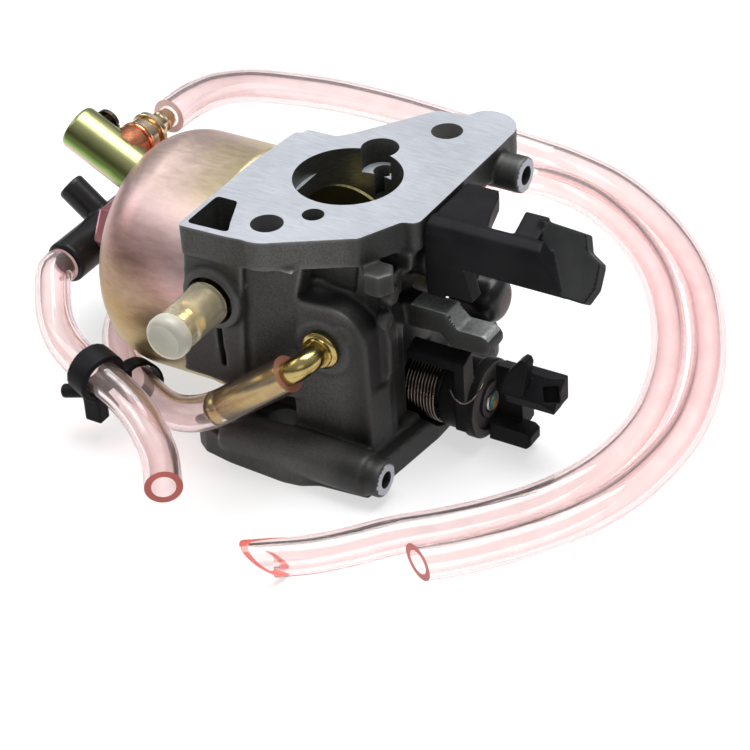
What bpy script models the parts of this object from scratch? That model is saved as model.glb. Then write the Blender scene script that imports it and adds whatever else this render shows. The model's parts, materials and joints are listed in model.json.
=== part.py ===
"""Small-engine carburetor with its hoses, resting on its engine flange.

Every length below is in millimetres in the "bore frame": the intake bore runs along Z through
the origin, the engine flange face is z = 0, the float bowl points to -X and both shafts lie
along X. The root empty moves that frame into the part frame, which is in metres.
"""

import math

import bmesh
import bpy
from mathutils import Matrix, Vector

MM = 0.001

# Where the bore axis stands in the part frame, so that the part's base is centred on the origin.
BORE_AT = Vector((9.67, 5.43, 0.0))

# Overall sizes.
HEIGHT = 53.5
FLANGE_T = 6.5
ENGINE_FLANGE_T = 7.5
STUDS = ((-4.8, -22.0), (8.9, 24.0))
STUD_HOLE_R = 3.25
UPPER_POST = (23.5, 48.0)
LOWER_POST = (-28.2, 5.6)
POST_R = 3.8
VACUUM_PORT = Vector((11.0, 6.4, 29.2))
PILOT_Z = 15.0
GAP = 0.3
RUN = 0.05

# Bore, from the intake down to the engine.
INTAKE_R = 11.0
VENTURI_R = 8.0
THROTTLE_BORE_R = 9.0

# Shafts.
SHAFT_R = 2.5
CHOKE_Z = 40.5
THROTTLE_Z = 9.6
BOSS_R = 4.6
CHOKE_BOSS_X = 19.6
THROTTLE_BOSS_X = 21.6
LEVER_X = 21.7
KEY_HEIGHT = 1.6
CHOKE_SCREW_X = 4.5
THROTTLE_SCREW_X = 3.8

# Float bowl, a deep can on an axis along X.
BOWL_Z = 26.0
BOWL_R = 25.2
BOWL_WALL = 1.0
BOWL_RIM_X = -21.6
BOWL_END_X = -51.5
BOWL_CORNER = 12.0
DECK_X = -20.3
PILLAR_R = 4.6
PILLAR_END_X = -45.0
BOLT_R = 2.9

# Float pin, along Z beside the needle.
FLOAT_PIN = Vector((-26.5, -15.5, BOWL_Z))
NEEDLE_Y = -9.5

# Drain turret on the bowl's corner.
TURRET_FOOT = Vector((-51.6, 0.0, 40.96))
TURRET_END = Vector((-66.8, 0.0, 48.9))
TURRET_R = 4.9
BARB_X = -56.2
BARB_Z = 44.4

# Vent tee behind the bowl.
TEE_X = -66.0
TEE_Z = 21.0
TEE_R = 4.7
TEE_MOUTH_Y = -11.0

# Fittings on the front face.
INLET = Vector((6.9, -23.3, 29.3))
NIPPLE = Vector((-13.9, -28.6, 38.3))
KNEE = Vector((6.9, -30.6, 29.3))
PIPE_WAY = (Vector((-14.5, -32.5, 13.0)) - KNEE).normalized()
PIPE_END = KNEE + PIPE_WAY * 4.2

# Hoses.
HOSE_R = 3.8

ALUMINIUM = ("cast_aluminium", (0.36, 0.36, 0.37), 0.5, 0.9)
ZINC = ("yellow_zinc_steel", (0.72, 0.55, 0.38), 0.35, 0.9)
STEEL = ("plain_steel", (0.55, 0.56, 0.58), 0.3, 1.0)
GREEN_ZINC = ("green_zinc_steel", (0.52, 0.55, 0.25), 0.3, 0.9)
BRASS = ("brass", (0.80, 0.60, 0.25), 0.25, 1.0)
COPPER = ("copper", (0.75, 0.30, 0.18), 0.3, 1.0)
BLACK = ("black_plastic", (0.02, 0.02, 0.022), 0.45, 0.0)
RUBBER = ("black_rubber", (0.025, 0.025, 0.025), 0.7, 0.0)
FLOAT = ("float_plastic", (0.06, 0.06, 0.06), 0.5, 0.0)
CLEAR = ("clear_cap", (0.85, 0.83, 0.72), 0.4, 0.0)
HOSE = ("clear_pink_hose", (0.95, 0.72, 0.72), 0.2, 0.0)


# ---------------------------------------------------------------- helpers

def clear_scene():
    for obj in list(bpy.data.objects):
        bpy.data.objects.remove(obj, do_unlink=True)


def material(spec):
    name, colour, roughness, metallic = spec
    found = bpy.data.materials.get(name)
    if found:
        return found
    made = bpy.data.materials.new(name)
    made.use_nodes = True
    shader = made.node_tree.nodes["Principled BSDF"]
    shader.inputs["Base Color"].default_value = (*colour, 1.0)
    shader.inputs["Roughness"].default_value = roughness
    shader.inputs["Metallic"].default_value = metallic
    made.diffuse_color = (*colour, 1.0)
    return made


def root():
    return bpy.data.objects["bore_axis"]


def empty(name, at, parent=None):
    made = bpy.data.objects.new(name, None)
    made.location = at * MM
    made.parent = parent
    bpy.context.collection.objects.link(made)
    return made


def place(name, bm, spec, pivot=None, parent=None):
    """Turn a bmesh in bore-frame millimetres into a named object under a pivot or the root."""
    bmesh.ops.dissolve_degenerate(bm, dist=0.0005, edges=bm.edges[:])
    bmesh.ops.recalc_face_normals(bm, faces=bm.faces[:])
    start = pivot if pivot is not None else Vector((0.0, 0.0, 0.0))
    bmesh.ops.transform(bm, matrix=Matrix.Scale(MM, 4) @ Matrix.Translation(-start), verts=bm.verts[:])
    mesh = bpy.data.meshes.new(name)
    bm.to_mesh(mesh)
    bm.free()
    obj = bpy.data.objects.new(name, mesh)
    bpy.context.collection.objects.link(obj)
    mesh.materials.append(material(spec))
    obj.parent = parent if parent else root()
    return obj


def scratch(bm):
    """A temporary object for a Boolean, in millimetres."""
    bmesh.ops.recalc_face_normals(bm, faces=bm.faces[:])
    mesh = bpy.data.meshes.new("scratch")
    bm.to_mesh(mesh)
    bm.free()
    obj = bpy.data.objects.new("scratch", mesh)
    bpy.context.collection.objects.link(obj)
    obj.hide_render = True
    obj.display_type = "WIRE"
    return obj


def combine(base, tools, operation):
    """Union or subtract the tool meshes one after another and return a new bmesh."""
    target = scratch(base)
    for tool in tools:
        other = scratch(tool)
        step = target.modifiers.new("step", "BOOLEAN")
        step.operation = operation
        step.solver = "EXACT"
        step.object = other
        depsgraph = bpy.context.evaluated_depsgraph_get()
        result = bpy.data.meshes.new_from_object(target.evaluated_get(depsgraph))
        target.modifiers.remove(step)
        target.data = result
        bpy.data.objects.remove(other, do_unlink=True)
    done = bmesh.new()
    done.from_mesh(target.data)
    bpy.data.objects.remove(target, do_unlink=True)
    return done


def intersection(base, *tools):
    return combine(base, tools, "INTERSECT")


def union(base, *tools):
    return combine(base, tools, "UNION")


def cut(base, *tools):
    return combine(base, tools, "DIFFERENCE")


def axis_matrix(start, direction):
    """Local Z along the direction, local origin at the start."""
    turn = Vector(direction).normalized().to_track_quat("Z", "Y").to_matrix().to_4x4()
    return Matrix.Translation(Vector(start)) @ turn


def prism(outline, low, high, axis="Z"):
    """Extrude a flat outline along an axis; the outline's pairs are the two other axes in order."""
    order = {"Z": lambda a, b, h: (a, b, h), "Y": lambda a, b, h: (a, h, b), "X": lambda a, b, h: (h, a, b)}
    bm = bmesh.new()
    base = [bm.verts.new(order[axis](a, b, low)) for a, b in outline]
    face = bm.faces.new(base)
    grown = bmesh.ops.extrude_face_region(bm, geom=[face])
    moved = [item for item in grown["geom"] if isinstance(item, bmesh.types.BMVert)]
    step = Vector(order[axis](0.0, 0.0, high - low))
    bmesh.ops.translate(bm, vec=step, verts=moved)
    return bm


def loft(low, high):
    """Solid between two outlines with the same number of points."""
    bm = bmesh.new()
    bottom = [bm.verts.new(p) for p in low]
    top = [bm.verts.new(p) for p in high]
    bm.faces.new(bottom)
    bm.faces.new(top)
    for i in range(len(low)):
        j = (i + 1) % len(low)
        bm.faces.new((bottom[i], bottom[j], top[j], top[i]))
    bmesh.ops.recalc_face_normals(bm, faces=bm.faces[:])
    return bm


def box(low, high):
    outline = [(low[0], low[1]), (high[0], low[1]), (high[0], high[1]), (low[0], high[1])]
    return prism(outline, low[2], high[2])


def lathe(profile, start, direction, segments=32):
    """Closed solid of revolution: (radius, height) pairs from bottom to top along the direction."""
    bm = bmesh.new()
    rings = []
    for radius, height in profile:
        if radius <= 0.0:
            rings.append([bm.verts.new((0.0, 0.0, height))])
            continue
        turn = [2.0 * math.pi * i / segments for i in range(segments)]
        rings.append([bm.verts.new((radius * math.cos(a), radius * math.sin(a), height)) for a in turn])
    for low, high in zip(rings, rings[1:]):
        for i in range(max(len(low), len(high))):
            j = (i + 1) % segments
            if len(low) == 1:
                bm.faces.new((low[0], high[i], high[j]))
            elif len(high) == 1:
                bm.faces.new((low[i], low[j], high[0]))
            else:
                bm.faces.new((low[i], low[j], high[j], high[i]))
    for ring in (rings[0], rings[-1]):
        if len(ring) > 1:
            bm.faces.new(ring)
    bmesh.ops.transform(bm, matrix=axis_matrix(start, direction), verts=bm.verts[:])
    return bm


def ring(profile, start, direction, segments=32):
    """Ring-shaped solid: a closed (radius, height) outline turned all the way round."""
    bm = bmesh.new()
    loops = []
    for i in range(segments):
        a = 2.0 * math.pi * i / segments
        loops.append([bm.verts.new((r * math.cos(a), r * math.sin(a), h)) for r, h in profile])
    for i, loop in enumerate(loops):
        following = loops[(i + 1) % segments]
        for k in range(len(profile)):
            m = (k + 1) % len(profile)
            bm.faces.new((loop[k], loop[m], following[m], following[k]))
    bmesh.ops.transform(bm, matrix=axis_matrix(start, direction), verts=bm.verts[:])
    return bm


def washer(inner, outer, thickness, start, direction, segments=32):
    outline = [(inner, 0.0), (outer, 0.0), (outer, thickness), (inner, thickness)]
    return ring(outline, start, direction, segments)


def rod(radius, start, end, segments=32, chamfer=0.0):
    start = Vector(start)
    end = Vector(end)
    length = (end - start).length
    profile = [(radius, 0.0), (radius, length)]
    if chamfer:
        narrow = radius - chamfer
        profile = [(narrow, 0.0), (radius, chamfer), (radius, length - chamfer), (narrow, length)]
    return lathe(profile, start, end - start, segments)


def tube_along(points, radius, segments=16, inner=0.0):
    """Round bar or pipe swept along a polyline with square ends."""
    points = [Vector(p) for p in points]
    bm = bmesh.new()
    tangents = []
    for i in range(len(points)):
        ahead = points[min(i + 1, len(points) - 1)]
        behind = points[max(i - 1, 0)]
        tangents.append((ahead - behind).normalized())
    side = tangents[0].orthogonal().normalized()
    rings = []
    for point, tangent in zip(points, tangents):
        side = (side - tangent * side.dot(tangent)).normalized()
        other = tangent.cross(side)
        for size in ([radius, inner] if inner else [radius]):
            loop = []
            for k in range(segments):
                a = 2.0 * math.pi * k / segments
                spoke = side * (size * math.cos(a)) + other * (size * math.sin(a))
                loop.append(bm.verts.new(point + spoke))
            rings.append(loop)
    stride = 2 if inner else 1
    for layer in range(stride):
        for low, high in zip(rings[layer::stride], rings[layer + stride::stride]):
            for k in range(segments):
                m = (k + 1) % segments
                bm.faces.new((low[k], low[m], high[m], high[k]))
    if inner:
        for outer_loop, inner_loop in ((rings[0], rings[1]), (rings[-2], rings[-1])):
            for k in range(segments):
                m = (k + 1) % segments
                bm.faces.new((outer_loop[k], outer_loop[m], inner_loop[m], inner_loop[k]))
    else:
        bm.faces.new(rings[0])
        bm.faces.new(rings[-1])
    return bm


def smooth_route(route, spacing):
    """Points at an even spacing on a Catmull-Rom curve through a short list of places."""
    places = [Vector(p) for p in route]
    places = [places[0] * 2 - places[1]] + places + [places[-1] * 2 - places[-2]]
    dense = []
    for a, b, c, d in zip(places, places[1:], places[2:], places[3:]):
        for k in range(24):
            t = k / 24.0
            cubic = (3.0 * (b - c) + d - a) * t ** 3 + (2.0 * a - 5.0 * b + 4.0 * c - d) * t ** 2
            dense.append(0.5 * (cubic + (c - a) * t + 2.0 * b))
    dense.append(places[-2])
    lengths = [0.0]
    for p, q in zip(dense, dense[1:]):
        lengths.append(lengths[-1] + (q - p).length)
    count = max(2, round(lengths[-1] / spacing))
    result = []
    index = 0
    for n in range(count + 1):
        goal = lengths[-1] * n / count
        while index < len(dense) - 2 and lengths[index + 1] < goal:
            index += 1
        span = lengths[index + 1] - lengths[index]
        result.append(dense[index].lerp(dense[index + 1], (goal - lengths[index]) / span if span else 0.0))
    return result


def arc(centre, radius, start_deg, end_deg, steps):
    """Points on a circle, in a plane, both ends included."""
    points = []
    for k in range(steps + 1):
        a = math.radians(start_deg + (end_deg - start_deg) * k / steps)
        points.append((centre[0] + radius * math.cos(a), centre[1] + radius * math.sin(a)))
    return points


def thread_screw(name, tip, head, shank_r, head_r, head_h, spec, parent=None, pivot=None):
    """Slotted cheese-head screw from its tip to the top of its head."""
    tip = Vector(tip)
    head = Vector(head)
    length = (head - tip).length
    under = length - head_h
    profile = [(shank_r * 0.7, 0.0), (shank_r, 0.5), (shank_r, under), (head_r, under)]
    profile += [(head_r, length - 0.3), (head_r - 0.3, length)]
    bm = lathe(profile, tip, head - tip, 20)
    slot = box((-head_r * 1.2, -0.35, length - head_h * 0.45), (head_r * 1.2, 0.35, length + 1.0))
    bmesh.ops.transform(slot, matrix=axis_matrix(tip, head - tip), verts=slot.verts[:])
    return place(name, cut(bm, slot), spec, pivot, parent)


# ---------------------------------------------------------------- casting

def top_flange():
    outline = [(-20.1, -29.9), (-9.0, -29.5)]
    outline += arc(STUDS[0], 7.2, -100, -50, 4)
    outline += [(13.2, -19.4)] + arc((12.2, -17.8), 2.0, -50, -25, 2)
    outline += [(18.2, -10.4), (20.4, -9.9), (21.3, -8.8), (21.4, 24.0)]
    outline += arc((14.6, 28.6), 6.8, -10, 120, 7)
    outline += [(9.4, 31.6), (3.0, 30.6), (-8.0, 14.9), (-10.2, 12.6)]
    outline += [(-18.4, 12.4), (-19.0, 8.2), (-20.1, -5.0)]
    return prism(outline, HEIGHT - FLANGE_T, HEIGHT)


def engine_flange():
    outline = [(-19.9, -20.0), (-22.6, -26.2), (-21.8, -28.2), (-18.9, -30.2), (-12.4, -31.3), (0.6, -32.0)]
    outline += [(4.4, -31.5), (7.8, -29.7), (18.5, -28.8), (19.6, -19.0), (21.2, -5.0), (21.2, 20.0)]
    outline += arc((9.5, 24.5), 8.6, 0, 120, 7)
    outline += [(-8.0, 17.0), (-18.0, 15.0), (-19.9, 12.0)]
    bm = prism(outline, 0.0, ENGINE_FLANGE_T)
    rim = [e for e in bm.edges if all(abs(v.co.z - ENGINE_FLANGE_T) < 0.01 for v in e.verts)]
    bmesh.ops.bevel(bm, geom=rim, offset=2.0, segments=3, affect="EDGES")
    return bm


def left_block():
    outline = [(-20.0, 20.0), (-17.5, 16.5), (1.5, 15.0), (1.5, 39.5), (3.5, 47.4), (-20.0, 47.4)]
    main = prism(outline, -27.0, -9.0, "Y")
    low = [(-24.1, -27.7, 17.0), (-9.5, -27.7, 17.0), (-9.5, -26.0, 17.0), (-24.1, -26.0, 17.0)]
    high = [(-19.95, -29.3, 47.9), (-6.5, -29.3, 47.9), (-6.5, -26.0, 47.9), (-19.95, -26.0, 47.9)]
    slope = prism([(-7.4, -27.1), (-5.0, -31.0), (6.0, -31.0), (6.0, -23.2), (1.4, -23.2)], 10.0, 46.8)
    return cut(union(main, loft(low, high)), slope)


def inlet_block():
    outline = [(-1.0, 7.0), (16.6, 7.0)] + arc((8.6, 30.5), 8.0, 0, 90, 8) + [(-1.0, 38.5)]
    return prism(outline, INLET.y, -9.0, "Y")


def lower_walls():
    outline = [(16.6, -23.0), (17.8, -17.0), (13.6, -13.0), (13.6, 13.0), (-19.2, 10.0)]
    outline += [(-19.2, -15.0), (-4.0, -17.6)]
    return prism(outline, 7.0, 20.0)


def cast_arm():
    """Stepped arm that reaches out over the throttle lever."""
    outline = [(12.0, 28.0), (24.0, 28.0), (26.2, 25.6), (33.4, 25.6)]
    outline += arc((33.4, 27.8), 2.2, -60, 60, 4)
    outline += [(33.4, 30.1), (27.8, 30.1), (26.6, 31.2), (25.4, 33.0), (12.0, 33.0)]
    return prism(outline, -8.0, -2.6, "Y")


def float_ears():
    ears = []
    for side in (-1, 1):
        low = BOWL_Z + side * 5.9 - 1.1
        ears.append(box((-28.7, -17.8, low), (-19.0, -13.2, low + 2.2)))
    return ears


def casting_solids():
    solids = [engine_flange(), left_block(), inlet_block(), lower_walls()]
    solids.append(box((-19.6, -17.3, 7.2), (13.4, 13.8, 48.2)))
    solids.append(lathe([(15.2, 0.0), (15.2, HEIGHT - 1.0)], (0, 0, 0.5), (0, 0, 1), 40))
    solids.append(box((12.6, -17.2, 6.8), (17.6, -14.2, 43.0)))
    solids.append(lathe([(24.9, 0.0), (24.9, 4.5)], (DECK_X, 0, BOWL_Z), (1, 0, 0), 56))
    solids.append(rod(PILLAR_R, (-19.0, 0, BOWL_Z), (PILLAR_END_X, 0, BOWL_Z), 24))
    solids.append(rod(BOSS_R, (10.0, 0, CHOKE_Z), (CHOKE_BOSS_X, 0, CHOKE_Z), 28))
    solids.append(rod(BOSS_R, (8.0, 0, THROTTLE_Z), (THROTTLE_BOSS_X, 0, THROTTLE_Z), 28))
    solids.append(cast_arm())
    solids += float_ears()
    return solids


def casting_bosses():
    bosses = [rod(POST_R, (10.0, *UPPER_POST), (27.0, *UPPER_POST), 24)]
    bosses.append(rod(POST_R, (6.0, *LOWER_POST), (22.6, *LOWER_POST), 24))
    bosses.append(rod(4.6, (-15.0, -27.0, 4.8), (19.4, *LOWER_POST), 24, 0.6))
    bosses.append(lathe([(6.7, 0.0), (6.7, 5.4), (6.1, 6.0)], (NIPPLE.x, -24.6, NIPPLE.z), (0, -1, 0), 32))
    bosses.append(lathe([(6.6, 0.0), (6.6, 1.4), (5.9, 2.0)], (INLET.x, -21.8, INLET.z), (0, -1, 0), 28))
    bosses.append(lathe([(3.4, 0.0), (3.4, 4.7)], (17.3, -18.4, 42.5), (0, 0, 1), 6))
    bosses.append(rod(4.2, (0.0, 10.0, PILOT_Z), (0.0, 16.6, PILOT_Z), 24, 0.5))
    bosses.append(rod(4.4, VACUUM_PORT - Vector((1, 0, 0)), VACUUM_PORT + Vector((4, 0, 0)), 24, 0.5))
    return bosses


def bore_cut():
    profile = [(THROTTLE_BORE_R, -1.0), (THROTTLE_BORE_R, 19.6), (VENTURI_R, 23.4), (VENTURI_R, 26.6)]
    profile += [(INTAKE_R, 29.4), (INTAKE_R, HEIGHT + 1.0)]
    return lathe(profile, (0, 0, 0), (0, 0, 1), 48)


def ledge():
    """Cast step on the bowl side of the intake."""
    outline = arc((0.0, 0.0), INTAKE_R + 0.6, 146, 214, 8)
    return prism(outline, HEIGHT - 7.6, HEIGHT - 4.2)


def casting_cuts():
    cuts = [bore_cut()]
    cuts.append(rod(3.9, (0.1, 12.3, HEIGHT - 5.5), (0.1, 12.3, HEIGHT + 1), 24))
    cuts.append(rod(2.5, (0.7, 12.6, 42.0), (0.7, 12.6, HEIGHT + 1), 20))
    cuts.append(rod(2.2, (1.5, -15.4, 43.0), (1.5, -15.4, HEIGHT + 1), 20))
    pocket = [(-19.2, -28.3), (-9.7, -28.0), (-11.3, -24.8), (-12.8, -21.2), (-14.5, -17.4), (-19.4, -17.4)]
    cuts.append(prism(pocket, 45.0, HEIGHT + 1))
    for x, y in STUDS:
        cuts.append(rod(STUD_HOLE_R, (x, y, -1), (x, y, HEIGHT + 1), 24))
    cuts.append(rod(SHAFT_R + RUN, (-15.0, 0, CHOKE_Z), (25.0, 0, CHOKE_Z), 32))
    cuts.append(rod(SHAFT_R + RUN, (-14.0, 0, THROTTLE_Z), (25.0, 0, THROTTLE_Z), 32))
    cuts.append(washer(BOSS_R - 0.1, 8.3, 20.0, (13.8, 0, THROTTLE_Z), (1, 0, 0), 32))
    cuts.append(rod(8.3, (LEVER_X, 0, THROTTLE_Z), (30.0, 0, THROTTLE_Z), 32))
    cuts.append(rod(BOLT_R + GAP, (PILLAR_END_X - 1, 0, BOWL_Z), (-37.0, 0, BOWL_Z), 24))
    cuts.append(rod(2.4, (-38.0, 0, BOWL_Z), (-31.0, 0, BOWL_Z), 20))
    cuts.append(rod(1.8, (-32.0, 0, BOWL_Z), (-5.0, 0, BOWL_Z), 20))
    cuts.append(rod(2.9, (DECK_X - 1, NEEDLE_Y, BOWL_Z), (-12.5, NEEDLE_Y, BOWL_Z), 20))
    cuts.append(rod(1.9, (DECK_X - 1, 9.0, BOWL_Z), (-12.5, 9.0, BOWL_Z), 20))
    cuts.append(rod(1.05, FLOAT_PIN - Vector((0, 0, 9)), FLOAT_PIN + Vector((0, 0, 9)), 20))
    cuts.append(rod(2.8, INLET + Vector((0, -3, 0)), INLET + Vector((0, 6.0, 0)), 20))
    cuts.append(rod(5.2, NIPPLE + Vector((0, -4, 0)), NIPPLE + Vector((0, 2.0, 0)), 24))
    cuts.append(rod(2.8, NIPPLE + Vector((0, 1, 0)), NIPPLE + Vector((0, 9.0, 0)), 20))
    cuts.append(rod(1.9, (19.0, *UPPER_POST), (28.0, *UPPER_POST), 16))
    cuts.append(rod(1.7, (14.0, *LOWER_POST), (24.0, *LOWER_POST), 16))
    cuts.append(rod(2.3, (0.0, 11.4, PILOT_Z), (0.0, 18.0, PILOT_Z), 20))
    cuts.append(rod(2.1, VACUUM_PORT - Vector((0.5, 0, 0)), VACUUM_PORT + Vector((5, 0, 0)), 16))
    return cuts


def carburetor_body():
    casting = union(top_flange(), *casting_solids(), *casting_bosses())
    casting = union(cut(casting, *casting_cuts()), ledge())
    place("carburetor_body", casting, ALUMINIUM)


# ---------------------------------------------------------------- bowl and float

def bowl_outline(grow):
    """Half section of the bowl from the centre of its end to its rim: (radius, depth from the rim)."""
    depth = BOWL_RIM_X - BOWL_END_X
    centre = (BOWL_R - BOWL_CORNER, depth - BOWL_CORNER)
    return arc(centre, BOWL_CORNER + grow, 90, 0, 7) + [(BOWL_R + grow, 0.0)]


def float_bowl():
    outer = bowl_outline(0.0)
    inner = bowl_outline(-BOWL_WALL)
    hole = BOLT_R + GAP
    profile = [(hole, outer[0][1])] + outer + list(reversed(inner)) + [(hole, inner[0][1])]
    bowl = ring(profile, (BOWL_RIM_X, 0, BOWL_Z), (-1, 0, 0), 48)
    drain = rod(2.6, TURRET_FOOT * 1.5 - TURRET_END * 0.5, TURRET_END, 20)
    overflow = rod(2.3, (-45.0, 11.0, TEE_Z), (-56.0, 11.0, TEE_Z), 20)
    place("float_bowl", cut(bowl, drain, overflow), ZINC)


def bowl_gasket():
    place("bowl_gasket", washer(22.6, 24.6, 0.7, (DECK_X - GAP, 0, BOWL_Z), (-1, 0, 0), 48), RUBBER)


def bowl_bolt():
    shank = rod(BOLT_R, (-38.5, 0, BOWL_Z), (-54.0, 0, BOWL_Z), 24, 0.5)
    flange = rod(7.0, (-53.0, 0, BOWL_Z), (-54.0, 0, BOWL_Z), 32)
    head = lathe([(6.93, 0.0), (6.93, 7.2), (6.2, 8.0)], (-53.0, 0, BOWL_Z), (-1, 0, 0), 6)
    bolt = union(head, flange, shank)
    place("bowl_bolt", bolt, ZINC)
    seal = washer(BOLT_R + GAP, 7.2, 0.9, (BOWL_END_X - GAP, 0, BOWL_Z), (-1, 0, 0))
    place("bowl_bolt_washer", seal, COPPER)


def float_assembly():
    pivot = empty("float_pivot", FLOAT_PIN, root())
    outline = arc((0.0, BOWL_Z), 18.5, -75, 255, 30) + arc((0.0, BOWL_Z), 8.0, 255, -75, 22)
    chamber = prism(outline, -40.0, -30.0, "X")
    bridge = prism([(-18.0, 23.0), (-7.0, 20.0), (-7.0, 32.0), (-18.0, 29.0)], -34.0, -30.0, "X")
    arm = box((-30.5, -17.4, BOWL_Z - 4.4), (-25.4, -7.5, BOWL_Z + 4.4))
    chamber = union(chamber, bridge, arm)
    hole = rod(1.15, FLOAT_PIN - Vector((0, 0, 11)), FLOAT_PIN + Vector((0, 0, 11)), 20)
    place("float", cut(chamber, hole), FLOAT, FLOAT_PIN, pivot)
    half = Vector((0, 0, 7.6))
    place("float_pin", rod(1.0, FLOAT_PIN - half, FLOAT_PIN + half, 20, 0.2), STEEL)


def inlet_valve():
    start = Vector((-25.1, NEEDLE_Y, BOWL_Z))
    travel = empty("needle_axis", start, root())
    profile = [(0.9, 0.0), (1.2, 0.5), (1.2, 7.0), (0.5, 9.0), (0.0, 9.4)]
    place("inlet_needle", lathe(profile, start, (1, 0, 0), 12), STEEL, start, travel)
    outline = [(1.5, 0.0), (2.6, 0.0), (2.6, 8.0), (0.9, 8.0), (0.9, 7.2), (1.5, 6.2)]
    place("needle_seat", ring(outline, (BOWL_RIM_X, NEEDLE_Y, BOWL_Z), (1, 0, 0), 20), BRASS)


def jets():
    main = ring([(0.5, 0), (2.1, 0), (2.1, 4.6), (0.5, 4.6)], (-36.6, 0, BOWL_Z), (1, 0, 0), 20)
    place("main_jet", main, BRASS)
    tube = ring([(0.8, 0), (1.5, 0), (1.5, 23.6), (0.8, 23.6)], (-30.6, 0, BOWL_Z), (1, 0, 0), 20)
    place("emulsion_tube", tube, BRASS)
    outline = [(0.5, 0), (2.4, 0), (2.4, 1.6), (1.6, 1.6), (1.6, 8.4), (0.5, 8.4)]
    place("pilot_jet", ring(outline, (DECK_X - 2.0, 9.0, BOWL_Z), (1, 0, 0), 20), BRASS)
    tip = Vector((0.0, 11.8, PILOT_Z))
    pivot = empty("pilot_screw_axis", tip, root())
    thread_screw("pilot_screw", tip, tip + Vector((0, 10.4, 0)), 1.5, 2.9, 2.2, BRASS, pivot, tip)
    coil = helix((0, 16.9, PILOT_Z), (0, 19.7, PILOT_Z), 2.3, 0.26, 3.5, 12)
    place("pilot_screw_spring", tube_along(coil, 0.24, 6), STEEL)


def helix(start, end, radius, wire, turns, per_turn):
    """Centre line of a coil spring between two points on its axis."""
    start = Vector(start)
    end = Vector(end)
    matrix = axis_matrix(start, end - start)
    length = (end - start).length
    count = round(turns * per_turn)
    points = []
    for i in range(count + 1):
        a = 2.0 * math.pi * i / per_turn
        height = wire + (length - 2.0 * wire) * i / count
        points.append(matrix @ Vector((radius * math.cos(a), radius * math.sin(a), height)))
    return points


# ---------------------------------------------------------------- drain and vent

def drain_turret():
    direction = (TURRET_END - TURRET_FOOT).normalized()
    inside = TURRET_FOOT - direction * 4.0
    length = (TURRET_END - inside).length
    side = [(TURRET_R, 0.0), (TURRET_R, length - 0.5), (TURRET_R - 0.5, length)]
    turret = lathe(side, inside, direction, 36)
    turret = union(turret, rod(4.3, (BARB_X, 0.0, BARB_Z), (BARB_X, 5.4, BARB_Z), 28))
    clearance = bowl_outline(GAP)
    bowl = lathe([(0.0, clearance[0][1])] + clearance, (BOWL_RIM_X, 0, BOWL_Z), (-1, 0, 0), 48)
    passage = rod(1.6, inside - direction, TURRET_END - direction * 2.5, 16)
    port = rod(2.1, (BARB_X, 0.0, BARB_Z), (BARB_X, 6.0, BARB_Z), 20)
    screw_at = drain_screw_point()
    thread = rod(2.2, screw_at, screw_at + Vector((0, 8, 0)), 20)
    place("drain_turret", cut(turret, bowl, passage, port, thread), GREEN_ZINC)


def drain_screw_point():
    return TURRET_FOOT.lerp(TURRET_END, 0.78)


def drain_fittings():
    start = drain_screw_point() + Vector((0, 0.4, 0))
    pivot = empty("drain_screw_axis", start, root())
    thread_screw("drain_screw", start, start + Vector((0, 6.6, 0)), 1.9, 2.9, 1.3, ZINC, pivot, start)
    place("drain_washer", washer(2.2, 4.3, 1.0, (BARB_X, 5.7, BARB_Z), (0, 1, 0)), COPPER)
    outline = [(0.9, 0.0), (1.8, 0.0), (1.8, 5.4), (3.9, 5.4), (3.9, 7.6), (3.1, 7.9), (3.1, 8.6)]
    outline += [(4.3, 8.6), (4.3, 9.9), (2.2, 10.1), (2.2, 13.4), (2.55, 13.6), (2.0, 16.2), (0.9, 16.2)]
    place("drain_barb", ring(outline, (BARB_X, 1.6, BARB_Z), (0, 1, 0), 28), BRASS)


def vent_tee():
    junction = Vector((TEE_X, 6.0, TEE_Z))
    stub_end = Vector((-76.0, 6.0, 28.9))
    sleeve = rod(TEE_R, (TEE_X, 15.5, TEE_Z), (TEE_X, TEE_MOUTH_Y, TEE_Z), 28, 0.5)
    stub = rod(3.2, junction, stub_end, 24, 0.4)
    socket = rod(3.6, (TEE_X, 11.0, TEE_Z), (-57.5, 11.0, TEE_Z), 24, 0.4)
    bore = rod(2.7, (TEE_X, 13.5, TEE_Z), (TEE_X, TEE_MOUTH_Y - 1, TEE_Z), 20)
    stub_bore = rod(1.5, junction, stub_end + (stub_end - junction) * 0.1, 16)
    pipe_bore = rod(2.3, (-65.0, 11.0, TEE_Z), (-56.0, 11.0, TEE_Z), 20)
    tee = cut(union(sleeve, stub, socket), bore, stub_bore, pipe_bore)
    place("vent_tee", tee, RUBBER)
    pipe = ring([(1.2, 0), (2.0, 0), (2.0, 14.0), (1.2, 14.0)], (-49.8, 11.0, TEE_Z), (-1, 0, 0), 20)
    place("overflow_pipe", pipe, BRASS)


# ---------------------------------------------------------------- front fittings

def fuel_inlet_elbow():
    route = [INLET + Vector((0, 5, 0)), INLET + Vector((0, -3.4, 0))]
    bend_in = KNEE + Vector((0, 3.4, 0))
    bend_out = KNEE + PIPE_WAY * 3.4
    for k in range(7):
        t = k / 6.0
        route.append(bend_in * (1 - t) ** 2 + KNEE * (2 * t * (1 - t)) + bend_out * t ** 2)
    route.append(PIPE_END)
    pipe = tube_along(route, 2.45, 20)
    rim = [(3.9, 0.0), (4.0, 0.4), (4.0, 1.0), (3.2, 1.4), (3.2, 2.2)]
    flange = lathe(rim, INLET + Vector((0, -0.6, 0)), (0, -1, 0), 28)
    bore = tube_along([route[0] + Vector((0, 1, 0))] + route[1:-1] + [PIPE_END + PIPE_WAY], 1.5, 16)
    place("fuel_inlet_elbow", cut(union(pipe, flange), bore), BRASS)


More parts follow.
